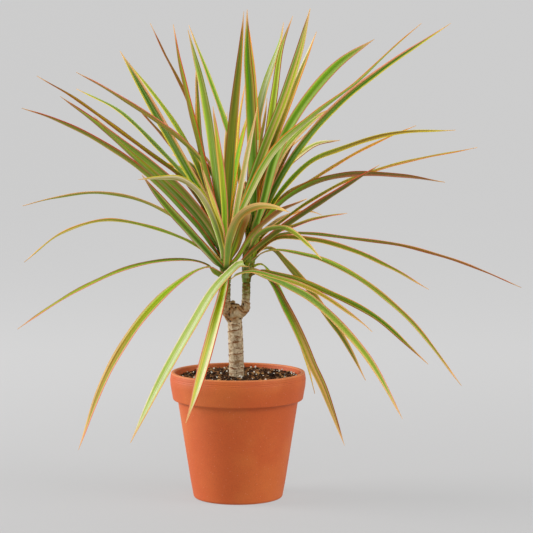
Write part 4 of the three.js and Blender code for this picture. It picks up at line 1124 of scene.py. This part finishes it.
def pot_profile(pot):
    """The pot's profile: up the outside, over the lip, down the inside to its floor."""
    rim, foot, wall = pot.rim_radius / MM, pot.foot_radius / MM, pot.wall / MM
    slope = wall_slope(pot)
    lip_height = pot.height / MM - LIP_ROUNDING
    grooves = []
    for height in GROOVES:
        lean = (rim - LIP_OUTER) * (height - RIM_BULGE) / (lip_height - RIM_BULGE)
        face = rim - lean
        grooves += [
            (face, height - GROOVE_HALF),
            (face - GROOVE_DEPTH, height),
            (face, height + GROOVE_HALF),
        ]
    return [
        *rounded(foot - FOOT_ROUNDING, FOOT_ROUNDING, FOOT_ROUNDING, -90, 0, 6),
        *[(foot + slope * height, height) for height in BODY_RINGS],
        *NECK,
        *rounded(RIM_FOOT_RADIUS - RIM_ROUNDING, RIM_FOOT, RIM_ROUNDING, -85, 0, 5),
        (RIM_FOOT_RADIUS + BAND_STEP, BAND_RINGS[0]),
        (rim - BAND_STEP, BAND_RINGS[1]),
        (rim, RIM_BULGE),
        *grooves,
        *rounded(LIP_OUTER - LIP_ROUNDING, lip_height, LIP_ROUNDING, 0, 90, 6),
        *rounded(LIP_INNER + LIP_ROUNDING, lip_height, LIP_ROUNDING, 90, 180, 6),
        (LIP_INNER - INNER_LEAN, RIM_BULGE),
        (NECK[0][0] - wall, NECK[0][1]),
        (foot + slope * POT_FLOOR - wall, POT_FLOOR),
    ]


def make_pot(pot):
    """The clay pot, drawn up and pierced by its drain holes."""
    body = draw_up("clay_pot", pot_profile(pot), POT_SIDES)
    for index in range(DRAIN_COUNT):
        angle = 2 * math.pi * (index + 0.25) / DRAIN_COUNT
        spot = (DRAIN_CIRCLE * math.cos(angle) * MM, DRAIN_CIRCLE * math.sin(angle) * MM, 0)
        clear_selection()
        bpy.ops.mesh.primitive_cylinder_add(
            vertices=32, radius=DRAIN_RADIUS * MM, depth=4 * POT_FLOOR * MM, location=spot
        )
        drill = bpy.context.object
        apply_modifier(body, "BOOLEAN", operation="DIFFERENCE", solver="EXACT", object=drill)
        bpy.data.objects.remove(drill)
    smooth_by_angle(body, 35)
    finish_piece(body, "pot", "terracotta", clay_finish(pot))


# ---- Potting mix ----


def bed_edge():
    """The mix's radius at its top, against the pot's wall."""
    inner_neck = NECK[0][0] - WALL - BED_GAP
    share = (BED_EDGE_HEIGHT - NECK[0][1]) / (RIM_BULGE - NECK[0][1])
    return inner_neck + (LIP_INNER - INNER_LEAN - BED_GAP - inner_neck) * share


def bed_height(x, y):
    """The height of the mix: a little heaped towards the cane and the back, with lumps of two
    crossed waves and a finer roughness."""
    share = math.hypot(x, y) / bed_edge()
    heap = BED_CROWN * (1 - share**2) + BED_BACK_RISE * y / bed_edge()
    lumps = math.sin(x * 0.31 + 1.3) * math.sin(y * 0.27 + 0.4)
    lumps += 0.6 * math.sin(x * 0.57 - y * 0.49)
    fine = 0.5 * noise.noise(Vector((x * 0.35, y * 0.35, 3)))
    return BED_EDGE_HEIGHT + heap + (BED_LUMP * lumps + fine) * (1 - share**4)


def make_bed(pot, mix):
    """The bed of potting mix that fills the pot."""
    wall = pot.wall / MM
    floor_radius = pot.foot_radius / MM + wall_slope(pot) * POT_FLOOR - wall - BED_GAP
    profile = [
        (floor_radius, POT_FLOOR + BED_GAP),
        (NECK[0][0] - wall - BED_GAP, NECK[0][1]),
        *[(radius, BED_EDGE_HEIGHT) for radius in np.linspace(bed_edge(), BED_HOLE, BED_RINGS)],
        (BED_HOLE, BED_HOLE_FLOOR),
    ]
    bed = draw_up("mix_bed", profile, BED_SIDES)
    places = get_places(bed.data)
    for place in places:
        if place[2] > NECK[0][1] + 1:
            place[2] = bed_height(place[0], place[1])
    set_places(bed.data, places)
    smooth_by_angle(bed, 60)
    finish_piece(bed, "soil", "potting_mix", mix_finish(mix))


def make_grain(rounds, size, roughness, seed):
    """The model for one loose grain: a ball pulled out of round, with flattened sides."""
    clear_selection()
    bpy.ops.mesh.primitive_ico_sphere_add(subdivisions=rounds, radius=0.5)
    grain = bpy.context.object
    bpy.ops.object.mode_set(mode="EDIT")
    bpy.ops.mesh.select_all(action="SELECT")
    bpy.ops.transform.resize(value=size)
    bpy.ops.transform.vertex_random(offset=roughness, uniform=1.0, normal=0.0, seed=seed)
    bpy.ops.object.mode_set(mode="OBJECT")
    return grain


def strew(name, shapes, places, sizes, turns, lots):
    """Many copies of the grain models in one mesh, each with its own lot from 0 to 1."""
    models = [make_grain(*shape) for shape in shapes]
    points, faces, point_lots = [], [], []
    for index, (place, size, turn, lot) in enumerate(zip(places, sizes, turns, lots)):
        model = models[index % len(models)]
        turned = point_values(model.data) @ np.array(turn.to_matrix()).T
        start = sum(map(len, points))
        points.append(turned * size + place)
        faces += [[start + corner for corner in face.vertices] for face in model.data.polygons]
        point_lots += [lot] * len(turned)
    mesh = bpy.data.meshes.new(name)
    mesh.from_pydata((np.vstack(points) * MM).tolist(), [], faces)
    add_values(mesh, lot=point_lots)
    for model in models:
        bpy.data.objects.remove(model)
    return add_piece(name, mesh)


def strewn_places(draw, count, front_share):
    """Places on the mix, some of them drawn towards the front of the rim."""
    inner, outer = BED_HOLE + CANE_MARGIN, bed_edge() - WALL_MARGIN
    places = []
    while len(places) < count:
        radius = math.sqrt(draw.uniform(inner**2, outer**2))
        angle = draw.uniform(0, 2 * math.pi)
        x, y = radius * math.cos(angle), radius * math.sin(angle)
        if y > 0 and draw.random() < front_share:
            continue
        places.append((x, y, bed_height(x, y)))
    return places


def make_crumbs(mix):
    """Crumbs of bark that cover the mix, a few of them stuck to the wall above it."""
    draw = random.Random(CRUMB_SEED)
    places = strewn_places(draw, mix.crumbs, 0)
    sizes = [mix.crumb_size / MM * draw.uniform(*CRUMB_SIZES) for _ in places]
    places = [
        (x, y, z + size * draw.uniform(*CRUMB_LIFT)) for (x, y, z), size in zip(places, sizes)
    ]
    for _ in range(WALL_CRUMBS):
        angle = draw.uniform(0, 2 * math.pi)
        height = draw.uniform(*WALL_CRUMB_HEIGHT)
        radius = bed_edge() - WALL_CRUMB_INSET
        places.append((radius * math.cos(angle), radius * math.sin(angle), height))
        sizes.append(draw.uniform(*WALL_CRUMB_SIZE))
    tilt = (0, CRUMB_TILT)
    turns = [
        Euler((draw.gauss(*tilt), draw.gauss(*tilt), draw.uniform(0, 2 * math.pi)))
        for _ in places
    ]
    lots = [draw.random() for _ in places]
    crumbs = strew("bark_crumbs", CRUMB_MODELS, places, sizes, turns, lots)
    finish_piece(crumbs, None, "potting_mix", crumb_finish())


def make_perlite(mix):
    """White perlite among the crumbs, more of it along the front of the rim."""
    draw = random.Random(PERLITE_SEED)
    places = strewn_places(draw, mix.perlite, PERLITE_FRONT)
    sizes = [mix.perlite_size / MM * draw.uniform(*PERLITE_SIZES) for _ in places]
    places = [(x, y, z + PERLITE_LIFT + size / 2) for (x, y, z), size in zip(places, sizes)]
    turns = [Euler([draw.uniform(0, 2 * math.pi) for _ in range(3)]) for _ in places]
    lots = [draw.random() for _ in places]
    perlite = strew("perlite", PERLITE_MODELS, places, sizes, turns, lots)
    smooth_by_angle(perlite, 50)
    finish_piece(perlite, None, "potting_mix", perlite_finish())


# ---- Cane ----


def cane_radius(height):
    """The cane's radius: slightly waisted, swollen where the branches leave."""
    foot, waist, cut = CANE_RADII
    if height < CANE_WAIST:
        share = (height - CANE_LINE[0][2]) / (CANE_WAIST - CANE_LINE[0][2])
        return foot + (waist - foot) * share
    share = (height - CANE_WAIST) / (CANE_LINE[-1][2] - CANE_WAIST)
    return waist + (cut - waist) * share + CANE_SWELL * math.sin(math.pi * ease(share))


def branch_radius(height):
    """A branch's radius: thickest at its elbow."""
    return BRANCH_RADIUS + ELBOW_SWELL * (1 - float(ease(height, *ELBOW_RANGE)))


def ring_scars(draw, stretch, spacing):
    """Leaf scars along a branch: where each is, how it slants, and how strong it is."""
    scars = []
    place, end = stretch
    while place < end:
        slant, turn = draw.uniform(*RING_SLANTS), draw.uniform(0, 2 * math.pi)
        scars.append((place, slant, turn, draw.uniform(*RING_STRENGTHS)))
        place += spacing * draw.uniform(*RING_STEPS)
    return scars


def fading(off, middle, width):
    """1 on a line and less to both sides of it."""
    return np.exp(-(((off - middle) / width) ** 2))


def on_front(normals):
    """1 where the bark faces the front, 0 where it faces away, and smooth between."""
    return 1 - ease(normals[:, 1], -0.1, 0.3)


def near_marks(places, normals, marks):
    """How near points on the front of the bark are to a list of marks, from 0 to 1."""
    near = np.zeros(len(places))
    for x, z, wide, high in marks:
        off = ((places[:, 0] - x) / wide) ** 2 + ((places[:, 2] - z) / high) ** 2
        near = np.maximum(near, np.exp(-off))
    return near * on_front(normals)


def near_lines(places, normals, lines, width):
    """How near points on the front of the bark are to a list of lines, from 0 to 1."""
    flat = places[:, [0, 2]]
    gap = np.full(len(places), np.inf)
    for line in lines:
        for start, end in zip(line, line[1:]):
            start, step = np.array(start), np.subtract(end, start)
            share = np.clip((flat - start) @ step / (step @ step), 0, 1)
            gap = np.minimum(gap, np.linalg.norm(flat - start - share[:, None] * step, axis=1))
    return fading(gap, 0, width) * on_front(normals)


def grow_rods():
    """The rods that the cane is grown together from, and the smooth line of each."""

    def knob_radius(shares):
        dome, most = KNOB_DOME
        return KNOB_RADIUS * np.sqrt(1 - np.clip((shares - dome) / (1 - dome), 0, most) ** 2)

    stems = (
        ("cane", CANE_LINE, 2, cane_radius),
        ("left", LEFT_BRANCH, 2, branch_radius),
        ("right", RIGHT_BRANCH, 2, branch_radius),
        ("knob", KNOB_LINE, 0.5, None),
    )
    rods, lines = [], []
    for label, knots, step, radius in stems:
        line, lengths = smooth_line(knots)
        shares = np.linspace(0, 1, int(lengths[-1] / step) + 1)
        points = along_line(line, lengths, shares)
        radii = [radius(point[2]) for point in points] if radius else knob_radius(shares)
        rods.append(rod_along(label, points, radii))
        lines.append((line, lengths))
    return rods, lines


def nearest_stem(places, lines):
    """For each point of the bark the stem it is on, how far along it, and the angle round it."""
    nearest = np.full(len(places), np.inf)
    run, angle = np.zeros(len(places)), np.zeros(len(places))
    stem = np.zeros(len(places), int)
    thick = (CANE_RADII[1], BRANCH_RADIUS, BRANCH_RADIUS, KNOB_RADIUS)
    for index, (line, lengths) in enumerate(lines):
        gaps = np.linalg.norm(places[:, None, :] - line[None, :, :], axis=2)
        closest = gaps.argmin(1)
        gap = gaps.min(1) - thick[index]
        out = places - line[closest]
        near = gap < nearest
        nearest[near] = gap[near]
        run[near] = lengths[closest][near]
        angle[near] = np.arctan2(out[near, 1], out[near, 0])
        stem[near] = index
    return stem, run, angle


def scar_marks(cane, stem, run, angle):
    """How near each point of the bark is to a leaf scar and to the rusty line below one, and
    how far the scars swell it."""
    draw = random.Random(RING_SEED)
    spacing = cane.scar_spacing / MM * RING_SPACING
    scars = [
        [(height - CANE_LINE[0][2], rise, 0, strength) for height, rise, strength in CANE_SCARS],
        ring_scars(draw, LEFT_RINGS, spacing),
        ring_scars(draw, RIGHT_RINGS, spacing),
    ]
    mark, rusty, swell = (np.zeros(len(run)) for _ in range(3))
    for index, rings in enumerate(scars):
        for place, slant, turn, strength in rings:
            off = run - (place + slant * np.cos(angle - turn) + 0.5 * np.sin(3 * angle + place))
            here = (stem == index) * strength * (0.7 + 0.3 * np.sin(angle * 4 + place))
            mark = np.maximum(mark, here * fading(off, 0, SCAR_WIDTH))
            rusty = np.maximum(rusty, here * fading(off, -RUST_DROP, RUST_WIDTH))
            hollow = HOLLOW_SHARE * fading(off, HOLLOW_RISE, HOLLOW_WIDTH)
            swell += here * (fading(off, 0, SCAR_LIP_WIDTH) - hollow)
    return mark, rusty, swell


def make_cane(cane):
    """The woody cane with its two branches, its leaf scars and the old cut at its top."""
    rods, lines = grow_rods()
    body = join(*rods)
    body.name = "cane"
    apply_modifier(body, "REMESH", mode="VOXEL", voxel_size=BARK_FACE * MM)
    apply_modifier(body, "SMOOTH", factor=0.5, iterations=3)

    places = get_places(body.data)
    normals = point_values(body.data, "normal")
    mark, rusty, swell = scar_marks(cane, *nearest_stem(places, lines))
    rough = np.array([noise.noise(Vector(place) * 0.4) for place in places])
    lumps = np.array([noise.noise(Vector(place) * 0.23 + Vector((9, 2, 5))) for place in places])
    low, high = KNUCKLE
    gnarled = ease(places[:, 2], low - 3, low + 8) * (1 - ease(places[:, 2], high - 4, high + 4))
    pits, slot, worn, ridges, swells = (
        near_marks(places, normals, marks) for marks in (PITS, KNOB_SLOT, WORN, RIDGES, SWELLS)
    )
    creases = near_lines(places, normals, CREASES, CREASE_WIDTH)
    stained = near_lines(places, normals, CREASES, STAIN_WIDTH)
    push = swell * cane.scar_depth / MM + BARK_ROUGHNESS * rough
    push += gnarled * (KNUCKLE_LUMPS * lumps + KNUCKLE_ROUGHNESS * rough)
    push += RIDGE_HEIGHT * ridges - PIT_DEPTH * pits - SLOT_DEPTH * slot
    push += SWELL_HEIGHT * swells - CREASE_DEPTH * creases
    set_places(body.data, places + normals * push[:, None])
    add_values(
        body.data,
        scar=mark,
        gnarled=gnarled,
        # How strongly the bark is painted near black: painted shade in its pits, its knob's slot
        # and its creases.
        pit=np.maximum.reduce([pits, 1.3 * slot, 0.55 * creases]),
        worn=worn,
        # The rusty colour of ridges, rust lines and stains, and the painted highlight on the knob's
        # top.
        ridge=np.maximum.reduce([ridges, 0.7 * rusty, 0.8 * stained]),
    )
    finish_piece(body, "trunk", "bark", bark_finish(cane), cut_finish())
    cut_middle = np.array(CANE_LINE[-1][:2])
    for face in body.data.polygons:
        place = np.array(face.center) / MM
        on_cut = face.normal.z > 0.6 and CUT_HEIGHT < place[2] < CUT_HEIGHT + CUT_DEPTH
        if on_cut and np.linalg.norm(place[:2] - cut_middle) < CANE_RADII[2]:
            face.material_index = 1
    pick(body)
    bpy.ops.object.shade_smooth()


# ---- Leaves ----


def at_depth(drawn, depth):
    """The real places of points of the drawing plane when they lie at these depths."""
    spread = (depth - FRONT_EYE[1]) / -FRONT_EYE[1]
    x = FRONT_EYE[0] + (drawn[:, 0] - FRONT_EYE[0]) * spread
    z = FRONT_EYE[2] + (drawn[:, 1] - FRONT_EYE[2]) * spread
    return np.stack([x, depth, z], 1)


def blade_outline(row, shares):
    """The width of a blade along its length, as a share of its full width."""
    base = np.minimum(1, ROOT_SHARE + shares)
    run = np.clip((shares - row.taper) / (1 - row.taper), 0, 1)
    return np.maximum(TIP_SHARE, base * np.cos(np.pi / 2 * run**1.35))


def midrib(row, head, line, lengths, shares):
    """Places along a blade's middle line."""
    drawn = along_line(line, lengths, shares)
    depth = head.depth + (row.tip - head.depth) * np.asarray(shares) ** row.bow
    return at_depth(drawn, depth)


def blade_frame(place, along, turn):
    """A blade's width direction and its upper side's direction at places along it."""
    to_eye = unit(FRONT_EYE - place)
    flat = unit(np.cross(along, to_eye))
    deep = np.cross(along, flat)
    turn = np.broadcast_to(turn, len(place))[:, None]
    across = flat * np.cos(turn) + deep * np.sin(turn)
    return across, np.cross(across, along)


def natural_turn(row, head, line, lengths):
    """Which way a blade is turned, so that its upper side looks up and to the stem."""
    before, place, after = midrib(row, head, line, lengths, [0.38, 0.4, 0.42])[:, None]
    along = unit(after - before)
    inward = np.array([[head.root[0] - place[0, 0], head.depth - place[0, 1], 0]])
    upward = np.array([[0, 0, 1]]) + 0.6 * unit(inward)
    size = math.acos(min(1, row.shown / row.width))
    turns = [size, -size, math.pi - size, math.pi + size]
    return max(turns, key=lambda turn: (blade_frame(place, along, turn)[1] * upward).sum())


def stem_axis(head, height):
    """Where a head's stem is at a height, and its radius there."""
    heights = [STEM_FOOT, STEM_FOOT + STEM_RISE, head.root[1], head.top[1]]
    x = np.interp(height, heights, [head.foot, head.foot, head.root[0], head.top[0]])
    share = np.clip((height - STEM_FOOT) / (head.top[1] - STEM_FOOT), 0, 1)
    radius = STEM_RADIUS + STEM_SWELL * np.sin(np.pi * share) - STEM_TAPER * share
    return np.array([x, head.depth, height]), float(radius)


def leave_stem(row, head, rank, line, lengths):
    """The share of a leaf's length at which it comes out of the stem, its place there, and the
    direction out of the stem."""
    shares = np.linspace(0, LEAVE_SHARE, 121)
    for share, place in zip(shares, midrib(row, head, line, lengths, shares)):
        axis, radius = stem_axis(head, place[2])
        hug = SHEATH_HUG * radius + LEAVE_GAPS[0] + LEAVE_GAPS[1] * (1 - rank)
        if np.hypot(*(place - axis)[:2]) > hug:
            break
    return share, place, unit((place - axis) * (1, 1, 0))


def leaf_shape(row, head, rank):
    """A leaf's rows: their places, width directions, upper directions, half widths,
    channel curl, and lengths from the root."""
    line, lengths = smooth_line(row.line)
    turn = natural_turn(row, head, line, lengths)

    share, place, out = leave_stem(row, head, rank, line, lengths)
    start_height = max(STEM_FOOT + 0.4 + 2 * rank, place[2] - SHEATH_DROP)
    foot_axis, foot_radius = stem_axis(head, start_height)
    foot_hug = SHEATH_HUG * foot_radius + 0.15
    foot = foot_axis + out * foot_hug

    free = np.linspace(share, 1, LEAF_ROWS - SHEATH_ROWS + 1)
    free_places = midrib(row, head, line, lengths, free)
    leave = unit(np.diff(midrib(row, head, line, lengths, [share, share + 0.02]), axis=0))[0]
    reach = np.linalg.norm(place - foot)
    steps = np.linspace(0, 1, SHEATH_ROWS + 1)[:-1, None]
    up = np.array([0, 0, 1.0])
    rise, fall = SHEATH_HANDLES
    bend = [foot, foot + up * rise * reach, place - leave * fall * reach, place]
    sheath = (
        bend[0] * (1 - steps) ** 3
        + 3 * bend[1] * steps * (1 - steps) ** 2
        + 3 * bend[2] * steps**2 * (1 - steps)
        + bend[3] * steps**3
    )
    middle = np.vstack([sheath, free_places])
    along = unit(np.gradient(middle, axis=0))

    row_shares = np.concatenate([np.full(SHEATH_ROWS, share), free])
    on_edge = (math.floor(turn / math.pi) + 0.5) * math.pi
    turns = turn + (on_edge - turn) * row.edge * (1 - ease(row_shares, *EDGE_RANGE))
    turns += math.radians(row.twist) * ease(row_shares, *TWIST_RANGE)
    free_across, _ = blade_frame(middle, along, turns)
    clasp = np.cross(out, up)
    if free_across[SHEATH_ROWS + 2] @ clasp < 0:
        clasp = -clasp
    run = running_length(middle)
    opened = ease(run, reach * SHEATH_OPENING[0], reach + SHEATH_OPENING[1])[:, None]
    across = clasp * (1 - opened) + free_across * opened
    across = unit(across - along * (across * along).sum(1, keepdims=True))
    upper = np.cross(across, along)

    blade_half = row.width / 2 * blade_outline(row, row_shares)
    narrowed = ease(run, 0, reach + 3)
    half = SHEATH_WRAP * foot_hug * (1 - narrowed) + blade_half * narrowed
    curl = (1 - opened[:, 0]) / foot_hug + opened[:, 0] * BLADE_CURL
    if (upper[0] * -out).sum() < 0:
        curl[: SHEATH_ROWS + 4] *= -1
    return middle, across, upper, half, curl, run


def shades_across(names, place):
    """The colours at places across a blade, from 0 to 1, of bands with these names."""
    bands = np.array([colour(SHADES[name]) for name in names.split()])
    middles = (np.arange(len(bands)) + 0.5) / len(bands)
    return np.stack([np.interp(place, middles, bands[:, part]) for part in range(4)], 1)


def lay_blade(blank, row, head, rank, lot):
    """A copy of the blade's blank laid along one leaf's line."""
    mesh = blank.data.copy()
    flat = point_values(mesh)
    side = flat[:, 0] * 2
    step = np.rint((flat[:, 1] + 0.5) * LEAF_ROWS).astype(int)
    middle, across, upper, half, curl, run = leaf_shape(row, head, rank)
    reach = (half[step] * side)[:, None]
    bent = curl[step][:, None]
    sideways = across[step] * np.sin(bent * reach) / bent
    lift = upper[step] * (1 - np.cos(bent * reach)) / bent
    wave = BLADE_WAVE * side**2 * np.sin(run[step] / 9 + lot * 40 + side)
    wave = np.minimum(np.abs(reach[:, 0]), 1) * (wave * ease(run[step], 20, 60))
    set_places(mesh, middle[step] + sideways + lift + upper[step] * wave[:, None])
    is_upper_left = 1 if across[LEAF_ROWS // 2] @ (-1, 0, 1) > 0 else -1
    place = (1 - side * is_upper_left) / 2
    far = ease(run[step] / run[-1], *FAR_RANGE)[:, None]
    first, second = (colour(SHADES[name]) for name in row.edges.split())
    add_values(
        mesh,
        from_edge=(1 - np.abs(side)) * half[step],
        to_tip=run[-1] - run[step] + (STUB_LENGTH if run[-1] < STUB_LENGTH else 0),
        from_root=run[step],
        lot=lot,
        cream=row.cream,
        tone=shades_across(row.tones, place) * (1 - far) + shades_across(row.far, place) * far,
        edge=np.where(place[:, None] < 0.5, first, second),
    )
    return add_piece("blade", mesh)


def back_leaves(head):
    """The leaves that fill a head's back, drawn by lot as the solids' are."""
    state = head.seed

    def draw():
        nonlocal state
        state = state * 16807 % 2147483647
        return state / 2147483647

    def between(limits):
        return limits[0] + (limits[1] - limits[0]) * draw()

    root_x, root_z = head.root
    rows = []
    for index in range(BACK_LEAVES):
        place = (index + draw()) / BACK_LEAVES
        tip_x = head.fan[0] + (head.fan[1] - head.fan[0]) * place
        tip_z = between(BACK_TIP_HEIGHT)
        rise = root_z + between(BACK_RISE)
        crest = (rise + max(rise, tip_z)) / 2
        line = [
            (root_x, root_z + index * BACK_ROOT_STEP),
            (root_x + (tip_x - root_x) * BACK_REACH[0], rise + BACK_LIFT[0]),
            (root_x + (tip_x - root_x) * BACK_REACH[1], crest + BACK_LIFT[1]),
            (tip_x, tip_z),
        ]
        depth = between(BACK_TIP_DEPTH)
        shown = between(BACK_SHOWN)
        rows.append(Leaf(line, depth, 1, shown, *BACK_LOOKS[index % len(BACK_LOOKS)], BACK_CREAM))
    return rows


def make_head(leaves, head, name, node):
    """One leafy head: its stem and its leaves, each a copy of one blank blade."""
    clear_selection()
    bpy.ops.mesh.primitive_grid_add(
        x_subdivisions=LEAF_COLUMNS, y_subdivisions=LEAF_ROWS, size=1, calc_uvs=True
    )
    blank = bpy.context.object
    rows = sorted([*head.leaves, *back_leaves(head)], key=lambda row: row.line[0][1])
    draw = random.Random(head.seed)
    blades = [
        lay_blade(blank, row, head, index / (len(rows) - 1), draw.random())
        for index, row in enumerate(rows)
    ]
    bpy.data.objects.remove(blank)
    body = join(*blades)
    body.data.materials.clear()
    body.data.materials.append(blade_finish("blade upper side", leaves, 0.5, 0))
    body.data.materials.append(blade_finish("blade under side", leaves, 0.55, 0.08))
    wall = {"thickness": leaves.thickness, "offset": 0, "use_even_offset": False}
    apply_modifier(body, "SOLIDIFY", material_offset=1, **wall)
    axes = [stem_axis(head, height) for height in np.linspace(STEM_FOOT, head.top[1], STEM_RINGS)]
    radii = [STEM_FILL * radius for _, radius in axes]
    stem = rod_along("stem", [axis for axis, _ in axes], radii)
    stem.data.materials.append(stem_finish(leaves))
    body = join(body, stem)
    body.name = name
    smooth_by_angle(body, 60)
    finish_piece(body, node, "leaf")


# ---- Stage ----


def make_stage(stage):
    """A pale floor that curves up all round, soft light, and the camera."""
    curve = rounded(FLOOR_REACH, FLOOR_HEIGHT + FLOOR_CURVE, FLOOR_CURVE, -80, 0, 8)
    profile = [(FLOOR_REACH, FLOOR_HEIGHT), *curve, WALL_TOP]
    floor = draw_up("studio_floor", profile, FLOOR_SIDES, is_open=True)
    bpy.ops.object.shade_smooth()
    floor.data.materials.append(floor_finish(stage))

    powers = (stage.left_light, stage.right_light, stage.front_light)
    for (name, place, size), power in zip(LIGHTS, powers):
        clear_selection()
        bpy.ops.object.light_add(type="AREA", location=place)
        lamp = bpy.context.object
        lamp.name = name
        lamp.data.size = size
        lamp.data.energy = power
        lamp.visible_camera = False
        aim = Vector(LIGHT_AIM) - Vector(place)
        lamp.rotation_euler = aim.to_track_quat("-Z", "Y").to_euler()
    world = bpy.data.worlds.new("even light")
    world.use_nodes = True
    background = world.node_tree.nodes["Background"]
    background.inputs["Color"].default_value = colour("f4f4f4")
    background.inputs["Strength"].default_value = stage.sky
    scene = bpy.context.scene
    scene.world = world
    scene.view_settings.view_transform = "Standard"

    clear_selection()
    bpy.ops.object.camera_add(
        location=CAMERA_PLACE, rotation=(math.radians(90) - CAMERA_PITCH, 0, 0)
    )
    camera = bpy.context.object
    camera.name = "front camera"
    camera.data.sensor_width = 36
    camera.data.lens = CAMERA_LENS
    camera.data.clip_end = 100
    scene.camera = camera


# ---- Operators ----


class DRACAENA_OT_pot(bpy.types.Operator):
    """Draw up the clay pot"""

    bl_idname = "dracaena.pot"
    bl_label = "Clay pot"
    bl_options = {"REGISTER", "UNDO"}

    def execute(self, context):
        make_pot(context.scene.dracaena_pot)
        return {"FINISHED"}


class DRACAENA_OT_mix(bpy.types.Operator):
    """Fill the pot with potting mix"""

    bl_idname = "dracaena.mix"
    bl_label = "Potting mix"
    bl_options = {"REGISTER", "UNDO"}

    def execute(self, context):
        make_bed(context.scene.dracaena_pot, context.scene.dracaena_mix)
        return {"FINISHED"}


class DRACAENA_OT_grains(bpy.types.Operator):
    """Strew bark crumbs and perlite over the mix"""

    bl_idname = "dracaena.grains"
    bl_label = "Crumbs and perlite"
    bl_options = {"REGISTER", "UNDO"}

    def execute(self, context):
        make_crumbs(context.scene.dracaena_mix)
        make_perlite(context.scene.dracaena_mix)
        return {"FINISHED"}


class DRACAENA_OT_cane(bpy.types.Operator):
    """Shape the cane with its two branches"""

    bl_idname = "dracaena.cane"
    bl_label = "Cane"
    bl_options = {"REGISTER", "UNDO"}

    def execute(self, context):
        make_cane(context.scene.dracaena_cane)
        return {"FINISHED"}


class DRACAENA_OT_heads(bpy.types.Operator):
    """Lay the leaves of both heads"""

    bl_idname = "dracaena.heads"
    bl_label = "Leafy heads"
    bl_options = {"REGISTER", "UNDO"}

    def execute(self, context):
        leaves = context.scene.dracaena_leaf
        make_head(leaves, LEFT_HEAD, "leaves_left", "crown_left")
        make_head(leaves, RIGHT_HEAD, "leaves_right", "crown_right")
        return {"FINISHED"}


class DRACAENA_OT_stage(bpy.types.Operator):
    """Lay the floor and set the lights and the camera"""

    bl_idname = "dracaena.stage"
    bl_label = "Stage"
    bl_options = {"REGISTER", "UNDO"}

    def execute(self, context):
        make_stage(context.scene.dracaena_stage)
        return {"FINISHED"}


OPERATORS = (
    DRACAENA_OT_pot,
    DRACAENA_OT_mix,
    DRACAENA_OT_grains,
    DRACAENA_OT_cane,
    DRACAENA_OT_heads,
    DRACAENA_OT_stage,
)


class DRACAENA_PT_pieces(bpy.types.Panel):
    """The pieces of the plant, each with its sizes and colours"""

    bl_label = "Dracaena"
    bl_idname = "DRACAENA_PT_pieces"
    bl_space_type = "VIEW_3D"
    bl_region_type = "UI"
    bl_category = "Dracaena"

    def draw(self, context):
        for name, group in SETTINGS.items():
            box = self.layout.box()
            for setting in group.__annotations__:
                box.prop(getattr(context.scene, name), setting)
        for operator in OPERATORS:
            self.layout.operator(operator.bl_idname)


CLASSES = (*SETTINGS.values(), *OPERATORS, DRACAENA_PT_pieces)


def register():
    for kind in CLASSES:
        bpy.utils.register_class(kind)
    for name, group in SETTINGS.items():
        setattr(bpy.types.Scene, name, PointerProperty(type=group))


def unregister():
    for name in SETTINGS:
        delattr(bpy.types.Scene, name)
    for kind in reversed(CLASSES):
        bpy.utils.unregister_class(kind)


def main():
    register()
    bpy.ops.dracaena.pot()
    bpy.ops.dracaena.mix()
    bpy.ops.dracaena.grains()
    bpy.ops.dracaena.cane()
    bpy.ops.dracaena.heads()
    bpy.ops.dracaena.stage()


if __name__ == "__main__":
    main()
